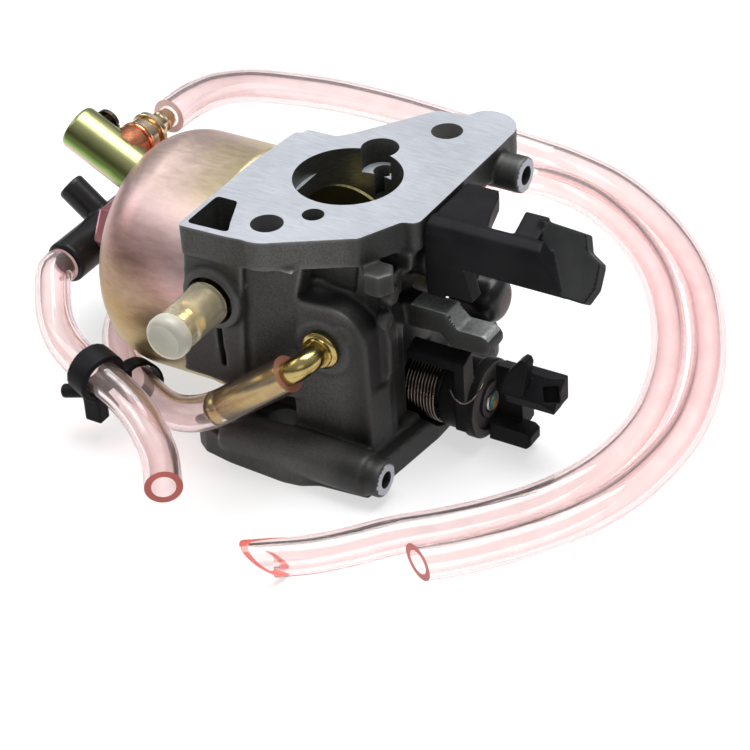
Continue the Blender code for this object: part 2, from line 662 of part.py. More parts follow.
def vent_nipple():
    outline = [(1.2, 0.0), (2.4, 0.0), (2.4, 6.4), (3.5, 6.4)]
    outline += [(3.5, 16.4), (2.3, 17.2), (2.3, 20.4), (1.2, 20.4)]
    place("vent_nipple", ring(outline, NIPPLE + Vector((0, 7.4, 0)), (0, -1, 0), 24), BRASS)
    outline = [(3.8, 0.0), (4.6, 0.0), (4.6, 14.2), (4.0, 15.0), (0.0, 15.0)]
    foot = NIPPLE + Vector((0, -2.6, 0))
    cap = lathe(outline, foot, (0, -1, 0), 28)
    hollow = lathe([(3.8, -1.0), (3.8, 8.2), (2.6, 8.8), (2.6, 13.6)], foot, (0, -1, 0), 28)
    place("nipple_cap", cut(cap, hollow), CLEAR)


def vacuum_port():
    outline = [(0.9, 0.0), (1.8, 0.0), (1.8, 9.0), (2.3, 9.6), (1.8, 12.4), (0.9, 12.4)]
    place("vacuum_nipple", ring(outline, VACUUM_PORT, (1, 0, 0), 20), BRASS)
    foot = VACUUM_PORT + Vector((9.8, 0, 0))
    cap = lathe([(4.6, 0.0), (5.3, 0.6), (5.3, 8.6), (4.8, 9.7), (3.6, 10.2)], foot, (1, 0, 0), 32)
    hollow = rod(2.7, foot - Vector((0.8, 0, 0)), foot + Vector((4.7, 0, 0)), 20)
    place("vacuum_cap", cut(cap, hollow), RUBBER)


# ---------------------------------------------------------------- choke

def choke_screw_holes():
    sides = (-CHOKE_SCREW_X, CHOKE_SCREW_X)
    return [rod(1.15, (x, -3.0, CHOKE_Z), (x, 4.0, CHOKE_Z), 16) for x in sides]


def choke_shaft():
    pivot = empty("choke_axis", Vector((0.0, 0.0, CHOKE_Z)), root())
    shaft = rod(SHAFT_R, (-14.4, 0, CHOKE_Z), (26.6, 0, CHOKE_Z), 30, 0.3)
    flat = box((-11.4, -4.0, CHOKE_Z - 4), (11.4, 0.4, CHOKE_Z + 4))
    key = box((20.4, -4.0, CHOKE_Z + KEY_HEIGHT), (28.0, 4.0, CHOKE_Z + 4))
    shaft = cut(shaft, flat, key, *choke_screw_holes())
    place("choke_shaft", shaft, BRASS, Vector((0.0, 0.0, CHOKE_Z)), pivot)


def choke_valve():
    centre = Vector((0.0, 0.0, CHOKE_Z))
    pivot = bpy.data.objects["choke_axis"]
    disc = rod(10.8, (0, -0.7, CHOKE_Z), (0, 0.1, CHOKE_Z), 48)
    place("choke_plate", cut(disc, *choke_screw_holes()), BRASS, centre, pivot)
    for number, x in enumerate((-CHOKE_SCREW_X, CHOKE_SCREW_X), 1):
        tip = (x, 2.2, CHOKE_Z)
        head = (x, -2.4, CHOKE_Z)
        thread_screw(f"choke_screw_{number}", tip, head, 0.9, 1.9, 1.4, BRASS, pivot, centre)


def choke_lever():
    centre = Vector((0.0, 0.0, CHOKE_Z))
    side = [(LEVER_X, 39.0), (24.4, 37.6), (31.8, 37.6), (29.8, 44.6), (51.6, 44.3), (45.3, 53.9)]
    side += [(LEVER_X, 53.9)]
    section = [(-8.3, 37.0), (-4.3, 37.0), (-4.3, 53.3), (-5.6, 53.4), (-7.4, 52.6), (-8.3, 50.8)]
    arm = intersection(prism(side, -8.6, -4.0, "Y"), prism(section, LEVER_X, 52.0, "X"))
    shelf = [(LEVER_X, -5.0), (33.6, -5.0), (31.4, 1.2), (29.9, 6.8), (28.8, 9.0), (LEVER_X, 9.0)]
    top = prism(shelf, 49.4, 52.9)
    hub = rod(5.4, (LEVER_X, 0, CHOKE_Z), (27.4, 0, CHOKE_Z), 28, 0.4)
    web = box((LEVER_X, -8.2, 36.8), (25.7, 2.0, 50.0))
    hook = prism([(-4.6, 49.0), (-4.2, 53.1), (0.8, 55.4), (1.8, 52.0), (0.4, 49.0)], 38.8, 44.0, "X")
    solid = union(arm, top, hub, web, hook, paddle())
    hole = rod(SHAFT_R + GAP, (20.0, 0, CHOKE_Z), (26.9, 0, CHOKE_Z), 28)
    keyed = cut(hole, box((19.0, -4.0, CHOKE_Z + KEY_HEIGHT + GAP), (28.0, 4.0, CHOKE_Z + 4)))
    place("choke_lever", cut(solid, keyed), BLACK, centre, bpy.data.objects["choke_axis"])


def paddle():
    """Finger tab at the end of the choke lever, leaning back from the front."""
    lean = math.radians(35.0)
    foot = Vector((0.0, -8.6, 44.6))
    up = Vector((0.0, math.sin(lean), math.cos(lean)))
    back = Vector((0.0, math.cos(lean), -math.sin(lean)))
    shape = [(42.8, 13.4), (43.0, 9.2), (46.4, 5.8), (51.0, 0.2), (55.6, 0.0)]
    shape += [(57.0, 3.3), (56.7, 8.0), (53.6, 9.7), (52.4, 12.8)]
    bm = bmesh.new()
    front = [bm.verts.new(foot + up * v + Vector((x, 0, 0))) for x, v in shape]
    face = bm.faces.new(front)
    grown = bmesh.ops.extrude_face_region(bm, geom=[face])
    moved = [item for item in grown["geom"] if isinstance(item, bmesh.types.BMVert)]
    bmesh.ops.translate(bm, vec=back * 4.0, verts=moved)
    return bm


def shaft_seal(name, x, z):
    place(name, washer(SHAFT_R + 0.35, 4.4, 1.2, (x, 0, z), (1, 0, 0), 28), RUBBER)


# ---------------------------------------------------------------- throttle

def throttle_screw_holes():
    sides = (-THROTTLE_SCREW_X, THROTTLE_SCREW_X)
    return [rod(1.15, (x, 0, THROTTLE_Z - 4), (x, 0, THROTTLE_Z + 4), 16) for x in sides]


def throttle_shaft():
    centre = Vector((0.0, 0.0, THROTTLE_Z))
    pivot = empty("throttle_axis", centre, root())
    shaft = rod(SHAFT_R, (-13.4, 0, THROTTLE_Z), (31.4, 0, THROTTLE_Z), 32, 0.3)
    flat = box((-9.3, -4.0, THROTTLE_Z - 0.4), (9.3, 4.0, THROTTLE_Z + 4))
    key = box((21.9, -4.0, THROTTLE_Z + KEY_HEIGHT), (36.0, 4.0, THROTTLE_Z + 4))
    place("throttle_shaft", cut(shaft, flat, key, *throttle_screw_holes()), STEEL, centre, pivot)


def throttle_valve():
    centre = Vector((0.0, 0.0, THROTTLE_Z))
    pivot = bpy.data.objects["throttle_axis"]
    disc = rod(8.9, (0, 0, THROTTLE_Z - 0.1), (0, 0, THROTTLE_Z + 0.7), 48)
    place("throttle_plate", cut(disc, *throttle_screw_holes()), BRASS, centre, pivot)
    for number, x in enumerate((-THROTTLE_SCREW_X, THROTTLE_SCREW_X), 1):
        tip = (x, 0, THROTTLE_Z - 2.2)
        head = (x, 0, THROTTLE_Z + 2.4)
        thread_screw(f"throttle_screw_{number}", tip, head, 0.9, 1.8, 1.4, BRASS, pivot, centre)


def keyed_hole(low_x, high_x):
    hole = rod(SHAFT_R + GAP, (low_x, 0, THROTTLE_Z), (high_x, 0, THROTTLE_Z), 28)
    return cut(hole, box((low_x - 1, -4.0, THROTTLE_Z + KEY_HEIGHT + GAP), (high_x + 1, 4.0, THROTTLE_Z + 4)))


def throttle_lever():
    """Plastic hub on the shaft with a finger and a stop block on its front side."""
    centre = Vector((0.0, 0.0, THROTTLE_Z))
    rim = [(7.0, 0.0), (7.6, 0.6), (7.6, 5.8), (8.4, 6.2), (8.4, 8.3), (8.0, 8.7)]
    hub = lathe(rim, (22.3, 0, THROTTLE_Z), (1, 0, 0), 36)
    finger = [(-8.3, 6.0), (-8.3, 22.1), (-4.6, 23.7), (-4.2, 17.0), (4.0, 13.6), (5.6, THROTTLE_Z)]
    block = [(-8.25, 20.2), (-8.25, 22.0), (-4.65, 23.6), (-4.4, 20.2)]
    solid = union(hub, prism(finger, 27.0, 29.4, "X"), prism(block, 16.4, 28.0, "X"))
    solid = cut(solid, keyed_hole(21.0, 32.5))
    place("throttle_lever", solid, BLACK, centre, bpy.data.objects["throttle_axis"])


def throttle_fork():
    """Coupling dogs that a throttle motor turns: two bars on a bridge, with a slanted tab."""
    centre = Vector((0.0, 0.0, THROTTLE_Z))
    bridge = prism([(1.2, 2.6), (6.2, 3.6), (6.6, 10.0), (5.4, 16.0), (1.2, 17.4)], 31.4, 37.2, "X")
    section = [(0.2, 18.8), (3.0, 18.4), (3.2, 13.0), (-3.0, 12.6), (-3.8, 14.8)]
    upper = prism(section, 35.8, 46.6, "X")
    end_face = axis_matrix((45.2, -1.7, 16.3), (0.41, -0.64, 0.65))
    point = box((-8.0, -8.0, 0.0), (8.0, 8.0, 8.0))
    bmesh.ops.transform(point, matrix=end_face, verts=point.verts[:])
    socket = box((-1.5, -1.6, -2.4), (1.5, 1.6, 1.0))
    bmesh.ops.transform(socket, matrix=end_face, verts=socket.verts[:])
    outline = [(31.4, 1.4), (39.6, 1.2), (40.6, 2.2), (40.6, 4.4), (39.6, 5.2), (31.4, 5.4)]
    lower = prism(outline, -2.2, 2.4, "Y")
    tab = prism([(34.6, 14.6), (35.7, 18.6), (40.0, 24.2), (40.7, 22.4), (39.5, 15.2)], -3.7, -0.9, "Y")
    solid = union(cut(upper, point, socket), bridge, lower, tab)
    place("throttle_fork", solid, BLACK, centre, bpy.data.objects["throttle_axis"])


def throttle_return_spring():
    coil = helix((14.2, 0, THROTTLE_Z), (22.0, 0, THROTTLE_Z), 7.15, 0.32, 10.0, 13)
    place("throttle_return_spring", tube_along(coil, 0.3, 6), STEEL)


# ---------------------------------------------------------------- hoses

DRAIN_ROUTE = [
    (BARB_X, 18.1, BARB_Z), (-56.2, 26.5, 44.0), (-56.6, 36.6, 41.6), (-56.1, 48.8, 36.8),
    (-53.2, 60.4, 31.0),
    (-47.7, 72.6, 24.4), (-39.5, 83.6, 17.4), (-30.5, 92.0, 11.2), (-20.2, 97.6, 6.6), (-10.1, 99.6, 4.4),
    (-0.6, 98.8, 3.85), (12.4, 94.7, 3.85), (25.2, 87.0, 3.85), (37.0, 77.0, 3.85), (46.4, 66.0, 3.85),
    (54.0, 53.6, 3.85), (60.0, 41.0, 3.85), (64.2, 28.4, 3.85), (66.6, 15.6, 3.85), (66.6, 3.0, 3.85),
    (64.4, -9.6, 3.85), (59.6, -21.4, 3.85), (52.6, -31.8, 3.85), (45.6, -39.8, 3.85), (39.4, -45.4, 3.85)]
FUEL_ROUTE = [
    PIPE_END + PIPE_WAY * GAP, KNEE + PIPE_WAY * 14.0, KNEE + PIPE_WAY * 25.6, (-21.4, -32.2, 9.9),
    (-30.2, -28.8, 7.0), (-40.7, -22.5, 5.45), (-49.0, -15.8, 4.3),
    (-56.4, -7.4, 3.95), (-61.4, 4.0, 3.85), (-63.0, 18.0, 3.85), (-60.0, 33.4, 3.85), (-53.0, 48.4, 3.85),
    (-43.0, 62.4, 3.85), (-31.0, 75.0, 3.85), (-18.4, 84.6, 3.85), (-5.0, 89.2, 3.85), (8.2, 87.2, 3.85),
    (20.0, 80.6, 3.85), (31.0, 71.2, 3.85), (39.6, 61.0, 3.85), (46.8, 49.4, 3.85), (52.4, 37.6, 3.85),
    (56.2, 26.0, 3.85), (58.4, 14.4, 3.85), (58.4, 3.6, 3.85), (56.4, -7.0, 3.85), (52.0, -17.4, 3.85),
    (45.6, -26.4, 3.85), (38.8, -33.8, 3.85), (31.6, -40.4, 3.85), (25.6, -47.4, 3.85), (19.8, -53.0, 3.85),
    (13.0, -57.6, 3.85)]
VENT_ROUTE = [
    (TEE_X, TEE_MOUTH_Y - GAP, TEE_Z), (TEE_X, -14.6, TEE_Z), (-62.9, -19.6, 19.4), (-58.6, -24.9, 17.8),
    (-53.2, -29.4, 16.6), (-47.6, -32.4, 15.9), (-41.4, -34.6, 15.2), (-34.6, -36.4, 13.8),
    (-28.9, -38.7, 12.4),
    (-23.4, -42.2, 11.2), (-17.7, -47.0, 10.4), (-11.5, -54.6, 10.2)]


def hose(name, route, spacing=8.0):
    """Plain solid tube along a route, with its first stretch straight out of the fitting."""
    start = Vector(route[0])
    points = [start, start.lerp(Vector(route[1]), 0.6)] + smooth_route(route, spacing)[1:]
    curve = bpy.data.curves.new(name, "CURVE")
    curve.dimensions = "3D"
    curve.bevel_depth = HOSE_R * MM
    curve.bevel_resolution = 3
    curve.use_fill_caps = True
    spline = curve.splines.new("POLY")
    spline.points.add(len(points) - 1)
    for target, point in zip(spline.points, points):
        target.co = (*(point * MM), 1.0)
    obj = bpy.data.objects.new(name, curve)
    bpy.context.collection.objects.link(obj)
    curve.materials.append(material(HOSE))
    obj.parent = root()


def hose_clip():
    """Clip that holds the vent hose beside the fuel hose."""
    upper = Vector((-41.4, -34.6, 15.2))
    lower = Vector((-40.7, -22.5, 5.45))
    upper_way = (Vector(VENT_ROUTE[7]) - Vector(VENT_ROUTE[5])).normalized()
    lower_way = (Vector(FUEL_ROUTE[5]) - Vector(FUEL_ROUTE[3])).normalized()
    rings = [rod(5.5, upper - upper_way * 2.6, upper + upper_way * 2.6, 28)]
    rings.append(rod(4.9, lower - lower_way * 2.4, lower + lower_way * 2.4, 28))
    across = (lower - upper).normalized()
    rings.append(rod(2.0, upper + across * 4.6, lower - across * 4.4, 16))
    rings.append(rod(1.5, upper + Vector((-2.0, -1.0, -4.4)), upper + Vector((-7.6, -2.0, -5.6)), 12, 0.3))
    rings.append(box((-43.6, -37.4, 4.6), (-39.6, -34.2, 10.6)))
    solid = union(*rings)
    holes = [rod(HOSE_R + 0.5, upper - upper_way * 6, upper + upper_way * 6, 28)]
    holes.append(rod(HOSE_R + 0.55, lower - lower_way * 6, lower + lower_way * 6, 28))
    place("hose_clip", cut(solid, *holes), BLACK)


def build():
    clear_scene()
    axis = bpy.data.objects.new("bore_axis", None)
    axis.location = BORE_AT * MM
    bpy.context.collection.objects.link(axis)
    carburetor_body()
    float_bowl()
    bowl_gasket()
    bowl_bolt()
    float_assembly()
    inlet_valve()
    jets()
    drain_turret()
    drain_fittings()
    vent_tee()
    fuel_inlet_elbow()
    vent_nipple()
    vacuum_port()
    choke_shaft()
    choke_valve()
    choke_lever()
    shaft_seal("choke_shaft_seal", CHOKE_BOSS_X + 0.3, CHOKE_Z)
    throttle_shaft()
    throttle_valve()
    throttle_lever()
    throttle_fork()
    throttle_return_spring()
    hose("drain_hose", DRAIN_ROUTE)
    hose("fuel_hose", FUEL_ROUTE)
    hose("vent_hose", VENT_ROUTE, 4.0)
    hose_clip()


build()
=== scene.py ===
"""Looks of the carburetor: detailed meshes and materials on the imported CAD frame.

Shapes are in millimetres in the bore frame: the origin is on the intake bore's axis in the plane of the
engine flange, +X runs to the control levers, -Y to the fuel inlet and +Z up the bore.
"""
import json
import math

import bmesh
import bpy
from mathutils import Matrix, Vector


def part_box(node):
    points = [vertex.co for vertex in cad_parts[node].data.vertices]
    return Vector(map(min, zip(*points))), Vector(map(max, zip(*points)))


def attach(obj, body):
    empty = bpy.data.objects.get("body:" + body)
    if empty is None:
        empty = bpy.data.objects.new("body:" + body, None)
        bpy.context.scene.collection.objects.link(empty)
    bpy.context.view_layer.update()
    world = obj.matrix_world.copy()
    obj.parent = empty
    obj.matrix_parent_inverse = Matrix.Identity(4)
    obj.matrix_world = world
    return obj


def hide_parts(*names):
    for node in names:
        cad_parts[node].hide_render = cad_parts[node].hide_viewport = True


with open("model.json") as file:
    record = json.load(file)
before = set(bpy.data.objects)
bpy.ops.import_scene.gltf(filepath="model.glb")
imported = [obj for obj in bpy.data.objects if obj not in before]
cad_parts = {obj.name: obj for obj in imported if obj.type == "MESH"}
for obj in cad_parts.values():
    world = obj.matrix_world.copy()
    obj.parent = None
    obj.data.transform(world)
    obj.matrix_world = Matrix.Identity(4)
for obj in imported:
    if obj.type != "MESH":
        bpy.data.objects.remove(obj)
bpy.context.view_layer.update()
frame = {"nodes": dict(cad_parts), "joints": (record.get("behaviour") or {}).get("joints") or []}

MM = 0.001
JOINTS = {joint["name"]: joint for joint in frame["joints"]}
CHOKE_PIVOT = Vector(JOINTS["choke_turn"]["pos_m"])
THROTTLE_PIVOT = Vector(JOINTS["throttle_turn"]["pos_m"])
BORE = Vector((CHOKE_PIVOT.x, CHOKE_PIVOT.y, 0.0))
CHOKE_Z = CHOKE_PIVOT.z / MM
THROTTLE_Z = THROTTLE_PIVOT.z / MM

# Driving sizes, in millimetres.
HEIGHT = (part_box("carburetor_body")[1].z) / MM
FLANGE_T = 6.5
ENGINE_FLANGE_T = 7.5
STUDS = ((-4.8, -22.0), (8.9, 24.0))
STUD_HOLE_R = 3.25
INTAKE_R = 11.0
VENTURI_R = 8.0
THROTTLE_BORE_R = 9.0
SHAFT_R = 2.5
BOSS_R = 4.6
BOWL_Z = 26.0
BOWL_R = 25.2
BOWL_CORNER = 12.0
BOWL_RIM_X = -21.6
BOWL_END_X = -51.5
DECK_X = -20.3
PILLAR_END_X = -45.0
TURRET_FOOT = Vector((-51.6, 0.0, 40.96))
TURRET_END = Vector((-66.8, 0.0, 48.9))
TURRET_R = 4.9
TURRET_UP = Vector((0.463, 0.0, 0.886))
BARB = Vector((-56.2, 0.0, 44.4))
TEE = Vector((-66.0, 0.0, 21.0))
TEE_R = 4.7
TEE_MOUTH_Y = -11.0
INLET = Vector((6.9, -23.3, 29.3))
NIPPLE = Vector((-13.9, -28.6, 38.3))
KNEE = Vector((6.9, -30.6, 29.3))
PIPE_WAY = (Vector((-14.5, -32.5, 13.0)) - KNEE).normalized()
PIPE_END = KNEE + PIPE_WAY * 4.2
UPPER_POST = (23.5, 48.0)
LOWER_POST = (-28.2, 5.6)
POST_R = 3.8
VACUUM_PORT = Vector((11.0, 6.4, 29.2))
PILOT_Z = 15.0
BOLT_R = 2.9
BOWL_WALL = 1.0
LEVER_X = 21.7
KEY_HEIGHT = 1.6
PADDLE_LEAN = math.radians(35.0)
PADDLE_FOOT = Vector((0.0, -8.6, 44.6))
PADDLE_FRONT = Vector((0.0, -math.cos(PADDLE_LEAN), math.sin(PADDLE_LEAN)))
GAP = 0.3
HOSE_R = 3.8
HOSE_BORE_R = 2.45

# Camera: angles in degrees, distance and aim in millimetres. The floor is in metres.
FLOOR_HALF = 1.6
VIEW_AZIMUTH = 32.53
VIEW_ELEVATION = 34.99
VIEW_ROLL = -3.51
VIEW_DISTANCE = 481.84
VIEW_SHIFT = (-4.32, 22.65)
VIEW_CENTRE = Vector((0.0, 0.0, 33.5))
LENS = 115.2
SENSOR_WIDTH = 36.0


# ---- shapes

def axis_matrix(start, direction):
    """Local Z along the direction, local origin at the start."""
    turn = Vector(direction).normalized().to_track_quat("Z", "Y").to_matrix().to_4x4()
    return Matrix.Translation(Vector(start)) @ turn


def prism(outline, low, high, axis="Z"):
    """Extrude a flat outline along an axis; the outline's pairs are the two other axes in order."""
    order = {"Z": lambda a, b, h: (a, b, h), "Y": lambda a, b, h: (a, h, b), "X": lambda a, b, h: (h, a, b)}
    bm = bmesh.new()
    face = bm.faces.new([bm.verts.new(order[axis](a, b, low)) for a, b in outline])
    grown = bmesh.ops.extrude_face_region(bm, geom=[face])
    moved = [item for item in grown["geom"] if isinstance(item, bmesh.types.BMVert)]
    bmesh.ops.translate(bm, vec=Vector(order[axis](0.0, 0.0, high - low)), verts=moved)
    bmesh.ops.recalc_face_normals(bm, faces=bm.faces[:])
    return bm


def loft(low, high):
    """Solid between two outlines with the same number of points."""
    bm = bmesh.new()
    bottom = [bm.verts.new(p) for p in low]
    top = [bm.verts.new(p) for p in high]
    bm.faces.new(bottom)
    bm.faces.new(top)
    for i in range(len(low)):
        j = (i + 1) % len(low)
        bm.faces.new((bottom[i], bottom[j], top[j], top[i]))
    bmesh.ops.recalc_face_normals(bm, faces=bm.faces[:])
    return bm


def box(low, high):
    return prism([(low[0], low[1]), (high[0], low[1]), (high[0], high[1]), (low[0], high[1])], low[2], high[2])


def lathe(profile, start, direction, segments=48):
    """Closed solid of revolution: (radius, height) pairs from bottom to top along the direction."""
    bm = bmesh.new()
    loops = []
    for radius, height in profile:
        if radius <= 0.0:
            loops.append([bm.verts.new((0.0, 0.0, height))])
            continue
        turn = [2.0 * math.pi * i / segments for i in range(segments)]
        loops.append([bm.verts.new((radius * math.cos(a), radius * math.sin(a), height)) for a in turn])
    for low, high in zip(loops, loops[1:]):
        for i in range(max(len(low), len(high))):
            j = (i + 1) % segments
            if len(low) == 1:
                bm.faces.new((low[0], high[i], high[j]))
            elif len(high) == 1:
                bm.faces.new((low[i], low[j], high[0]))
            else:
                bm.faces.new((low[i], low[j], high[j], high[i]))
    for loop in (loops[0], loops[-1]):
        if len(loop) > 1:
            bm.faces.new(loop)
    bmesh.ops.transform(bm, matrix=axis_matrix(start, direction), verts=bm.verts[:])
    bmesh.ops.recalc_face_normals(bm, faces=bm.faces[:])
    return bm


def ring(profile, start, direction, segments=48):
    """Ring-shaped solid: a closed (radius, height) outline turned all the way round."""
    bm = bmesh.new()
    loops = []
    for i in range(segments):
        a = 2.0 * math.pi * i / segments
        loops.append([bm.verts.new((r * math.cos(a), r * math.sin(a), h)) for r, h in profile])
    for i, loop in enumerate(loops):
        following = loops[(i + 1) % segments]
        for k in range(len(profile)):
            m = (k + 1) % len(profile)
            bm.faces.new((loop[k], loop[m], following[m], following[k]))
    bmesh.ops.transform(bm, matrix=axis_matrix(start, direction), verts=bm.verts[:])
    bmesh.ops.recalc_face_normals(bm, faces=bm.faces[:])
    return bm


def rod(radius, start, end, segments=48, chamfer=0.0):
    length = (Vector(end) - Vector(start)).length
    profile = [(radius, 0.0), (radius, length)]
    if chamfer:
        narrow = radius - chamfer
        profile = [(narrow, 0.0), (radius, chamfer), (radius, length - chamfer), (narrow, length)]
    return lathe(profile, start, Vector(end) - Vector(start), segments)


def arc(centre, radius, start_deg, end_deg, steps):
    """Points on a circle, in a plane, both ends included."""
    points = []
    for k in range(steps + 1):
        a = math.radians(start_deg + (end_deg - start_deg) * k / steps)
        points.append((centre[0] + radius * math.cos(a), centre[1] + radius * math.sin(a)))
    return points


def smooth_route(route, spacing):
    """Points at an even spacing on a Catmull-Rom curve through a short list of places."""
    places = [Vector(p) for p in route]
    places = [places[0] * 2 - places[1]] + places + [places[-1] * 2 - places[-2]]
    dense = []
    for a, b, c, d in zip(places, places[1:], places[2:], places[3:]):
        for k in range(24):
            t = k / 24.0
            cubic = (3.0 * (b - c) + d - a) * t ** 3 + (2.0 * a - 5.0 * b + 4.0 * c - d) * t ** 2
            dense.append(0.5 * (cubic + (c - a) * t + 2.0 * b))
    dense.append(places[-2])
    lengths = [0.0]
    for p, q in zip(dense, dense[1:]):
        lengths.append(lengths[-1] + (q - p).length)
    count = max(2, round(lengths[-1] / spacing))
    result = []
    index = 0
    for n in range(count + 1):
        goal = lengths[-1] * n / count
        while index < len(dense) - 2 and lengths[index + 1] < goal:
            index += 1
        span = lengths[index + 1] - lengths[index]
        result.append(dense[index].lerp(dense[index + 1], (goal - lengths[index]) / span if span else 0.0))
    return result


def route_length(points):
    return sum((q - p).length for p, q in zip(points, points[1:]))


def swept(points, radii, segments, cut=None):
    """Closed tube round a line of points; radii is one radius for a bar or two for a pipe.

    cut is a plane normal for the far end, for a slanted end."""
    bm = bmesh.new()
    count = len(points)
    tangents = []
    for i in range(count):
        tangents.append((points[min(i + 1, count - 1)] - points[max(i - 1, 0)]).normalized())
    side = tangents[0].orthogonal().normalized()
    loops = {radius: [] for radius in radii}
    for i, (point, tangent) in enumerate(zip(points, tangents)):
        side = (side - tangent * side.dot(tangent)).normalized()
        other = tangent.cross(side)
        for radius in radii:
            loop = []
            for k in range(segments):
                a = 2.0 * math.pi * k / segments
                spoke = side * (radius * math.cos(a)) + other * (radius * math.sin(a))
                if cut is not None and i == count - 1:
                    spoke -= tangent * (spoke.dot(cut) / tangent.dot(cut))
                loop.append(bm.verts.new(point + spoke))
            loops[radius].append(loop)
    for radius in radii:
        for low, high in zip(loops[radius], loops[radius][1:]):
            for k in range(segments):
                m = (k + 1) % segments
                bm.faces.new((low[k], low[m], high[m], high[k]))
    for end in (0, -1):
        if len(radii) == 1:
            bm.faces.new(loops[radii[0]][end])
            continue
        outer, inner = loops[radii[0]][end], loops[radii[1]][end]
        for k in range(segments):
            m = (k + 1) % segments
            bm.faces.new((outer[k], outer[m], inner[m], inner[k])).material_index = 1 if end else 2
    bmesh.ops.recalc_face_normals(bm, faces=bm.faces[:])
    return bm


def helix(start, end, radius, wire, turns, per_turn):
    """Centre line of a coil spring between two points on its axis."""
    matrix = axis_matrix(start, Vector(end) - Vector(start))
    length = (Vector(end) - Vector(start)).length
    count = round(turns * per_turn)
    points = []
    for i in range(count + 1):
        a = 2.0 * math.pi * i / per_turn
        height = wire + (length - 2.0 * wire) * i / count
        points.append(matrix @ Vector((radius * math.cos(a), radius * math.sin(a), height)))
    return points


# ---- Booleans and finishing

def evaluated(obj):
    depsgraph = bpy.context.evaluated_depsgraph_get()
    return bpy.data.meshes.new_from_object(obj.evaluated_get(depsgraph))


def scratch(bm):
    mesh = bpy.data.meshes.new("scratch")
    bm.to_mesh(mesh)
    bm.free()
    obj = bpy.data.objects.new("scratch", mesh)
    bpy.context.scene.collection.objects.link(obj)
    return obj


def combine(base, tools, operation, solver="EXACT"):
    """Union or subtract the tool meshes one after another and return a new bmesh."""
    target = scratch(base)
    for tool in tools:
        other = scratch(tool)
        step = target.modifiers.new("step", "BOOLEAN")
        step.operation = operation
        step.solver = solver
        step.object = other
        result = evaluated(target)
        target.modifiers.remove(step)
        target.data = result
        bpy.data.objects.remove(other, do_unlink=True)
    done = bmesh.new()
    done.from_mesh(target.data)
    bpy.data.objects.remove(target, do_unlink=True)
    return done


def intersection(base, *tools):
    return combine(base, tools, "INTERSECT")


def union(base, *tools):
    return combine(base, tools, "UNION")


def cut(base, *tools):
    return combine(base, tools, "DIFFERENCE")


def cast(bm, voxel, rounds):
    """Melt a solid's edges as a casting or a moulding has them: voxel remesh, then smoothing."""
    obj = scratch(bm)
    remesh = obj.modifiers.new("remesh", "REMESH")
    remesh.mode = "VOXEL"
    remesh.voxel_size = voxel
    relax = obj.modifiers.new("relax", "SMOOTH")
    relax.factor = 0.5
    relax.iterations = rounds
    done = bmesh.new()
    done.from_mesh(evaluated(obj))
    bpy.data.objects.remove(obj, do_unlink=True)
    return done


def machined(bm, *tools):
    """Cut sharp machined faces into a cast solid."""
    return combine(bm, tools, "DIFFERENCE", "MANIFOLD")


def piece(name, bm, look_names, nodes=(), body="casting", bevel=0.0, angle=35.0):
    """Put a bmesh in bore-frame millimetres into the scene as a finished piece of the object.

    look_names lists its materials in the order of its faces' material numbers."""
    place = Matrix.Translation(BORE) @ Matrix.Scale(MM, 4)
    bmesh.ops.transform(bm, matrix=place, verts=bm.verts[:])
    mesh = bpy.data.meshes.new(name)
    bm.to_mesh(mesh)
    bm.free()
    mesh.shade_smooth()
    mesh.set_sharp_from_angle(angle=math.radians(angle))
    for look in look_names.split():
        mesh.materials.append(LOOKS[look])
    obj = bpy.data.objects.new(name, mesh)
    bpy.context.scene.collection.objects.link(obj)
    if bevel:
        rounded = obj.modifiers.new("edges", "BEVEL")
        rounded.width = bevel * MM
        rounded.segments = 3
        rounded.limit_method = "ANGLE"
        rounded.angle_limit = math.radians(28)
        rounded.harden_normals = True
    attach(obj, body)
    if nodes:
        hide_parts(*nodes)
    return obj


# ---- camera, floor and light

def camera():
    azimuth, elevation, roll = (math.radians(v) for v in (VIEW_AZIMUTH, VIEW_ELEVATION, VIEW_ROLL))
    flat = Vector((math.sin(azimuth), -math.cos(azimuth), 0.0))
    back = flat * math.cos(elevation) + Vector((0.0, 0.0, math.sin(elevation)))
    right = Vector((math.cos(azimuth), math.sin(azimuth), 0.0))
    up = back.cross(right)
    level = (right, up)
    right = level[0] * math.cos(roll) + level[1] * math.sin(roll)
    up = level[1] * math.cos(roll) - level[0] * math.sin(roll)
    eye = VIEW_CENTRE + back * VIEW_DISTANCE - right * VIEW_SHIFT[0] - up * VIEW_SHIFT[1]
    data = bpy.data.cameras.new("camera")
    data.lens = LENS
    data.sensor_width = SENSOR_WIDTH
    data.clip_start = 0.01
    obj = bpy.data.objects.new("camera", data)
    bpy.context.scene.collection.objects.link(obj)
    turn = Matrix((right, up, back)).transposed().to_4x4()
    obj.matrix_world = Matrix.Translation(BORE + eye * MM) @ turn
    bpy.context.scene.camera = obj


def area_light(name, place, aim, size, power):
    data = bpy.data.lights.new(name, "AREA")
    data.shape = "RECTANGLE"
    data.size = size[0]
    data.size_y = size[1]
    data.energy = power
    obj = bpy.data.objects.new(name, data)
    bpy.context.scene.collection.objects.link(obj)
    obj.location = place
    obj.rotation_euler = (Vector(aim) - Vector(place)).to_track_quat("-Z", "Y").to_euler()


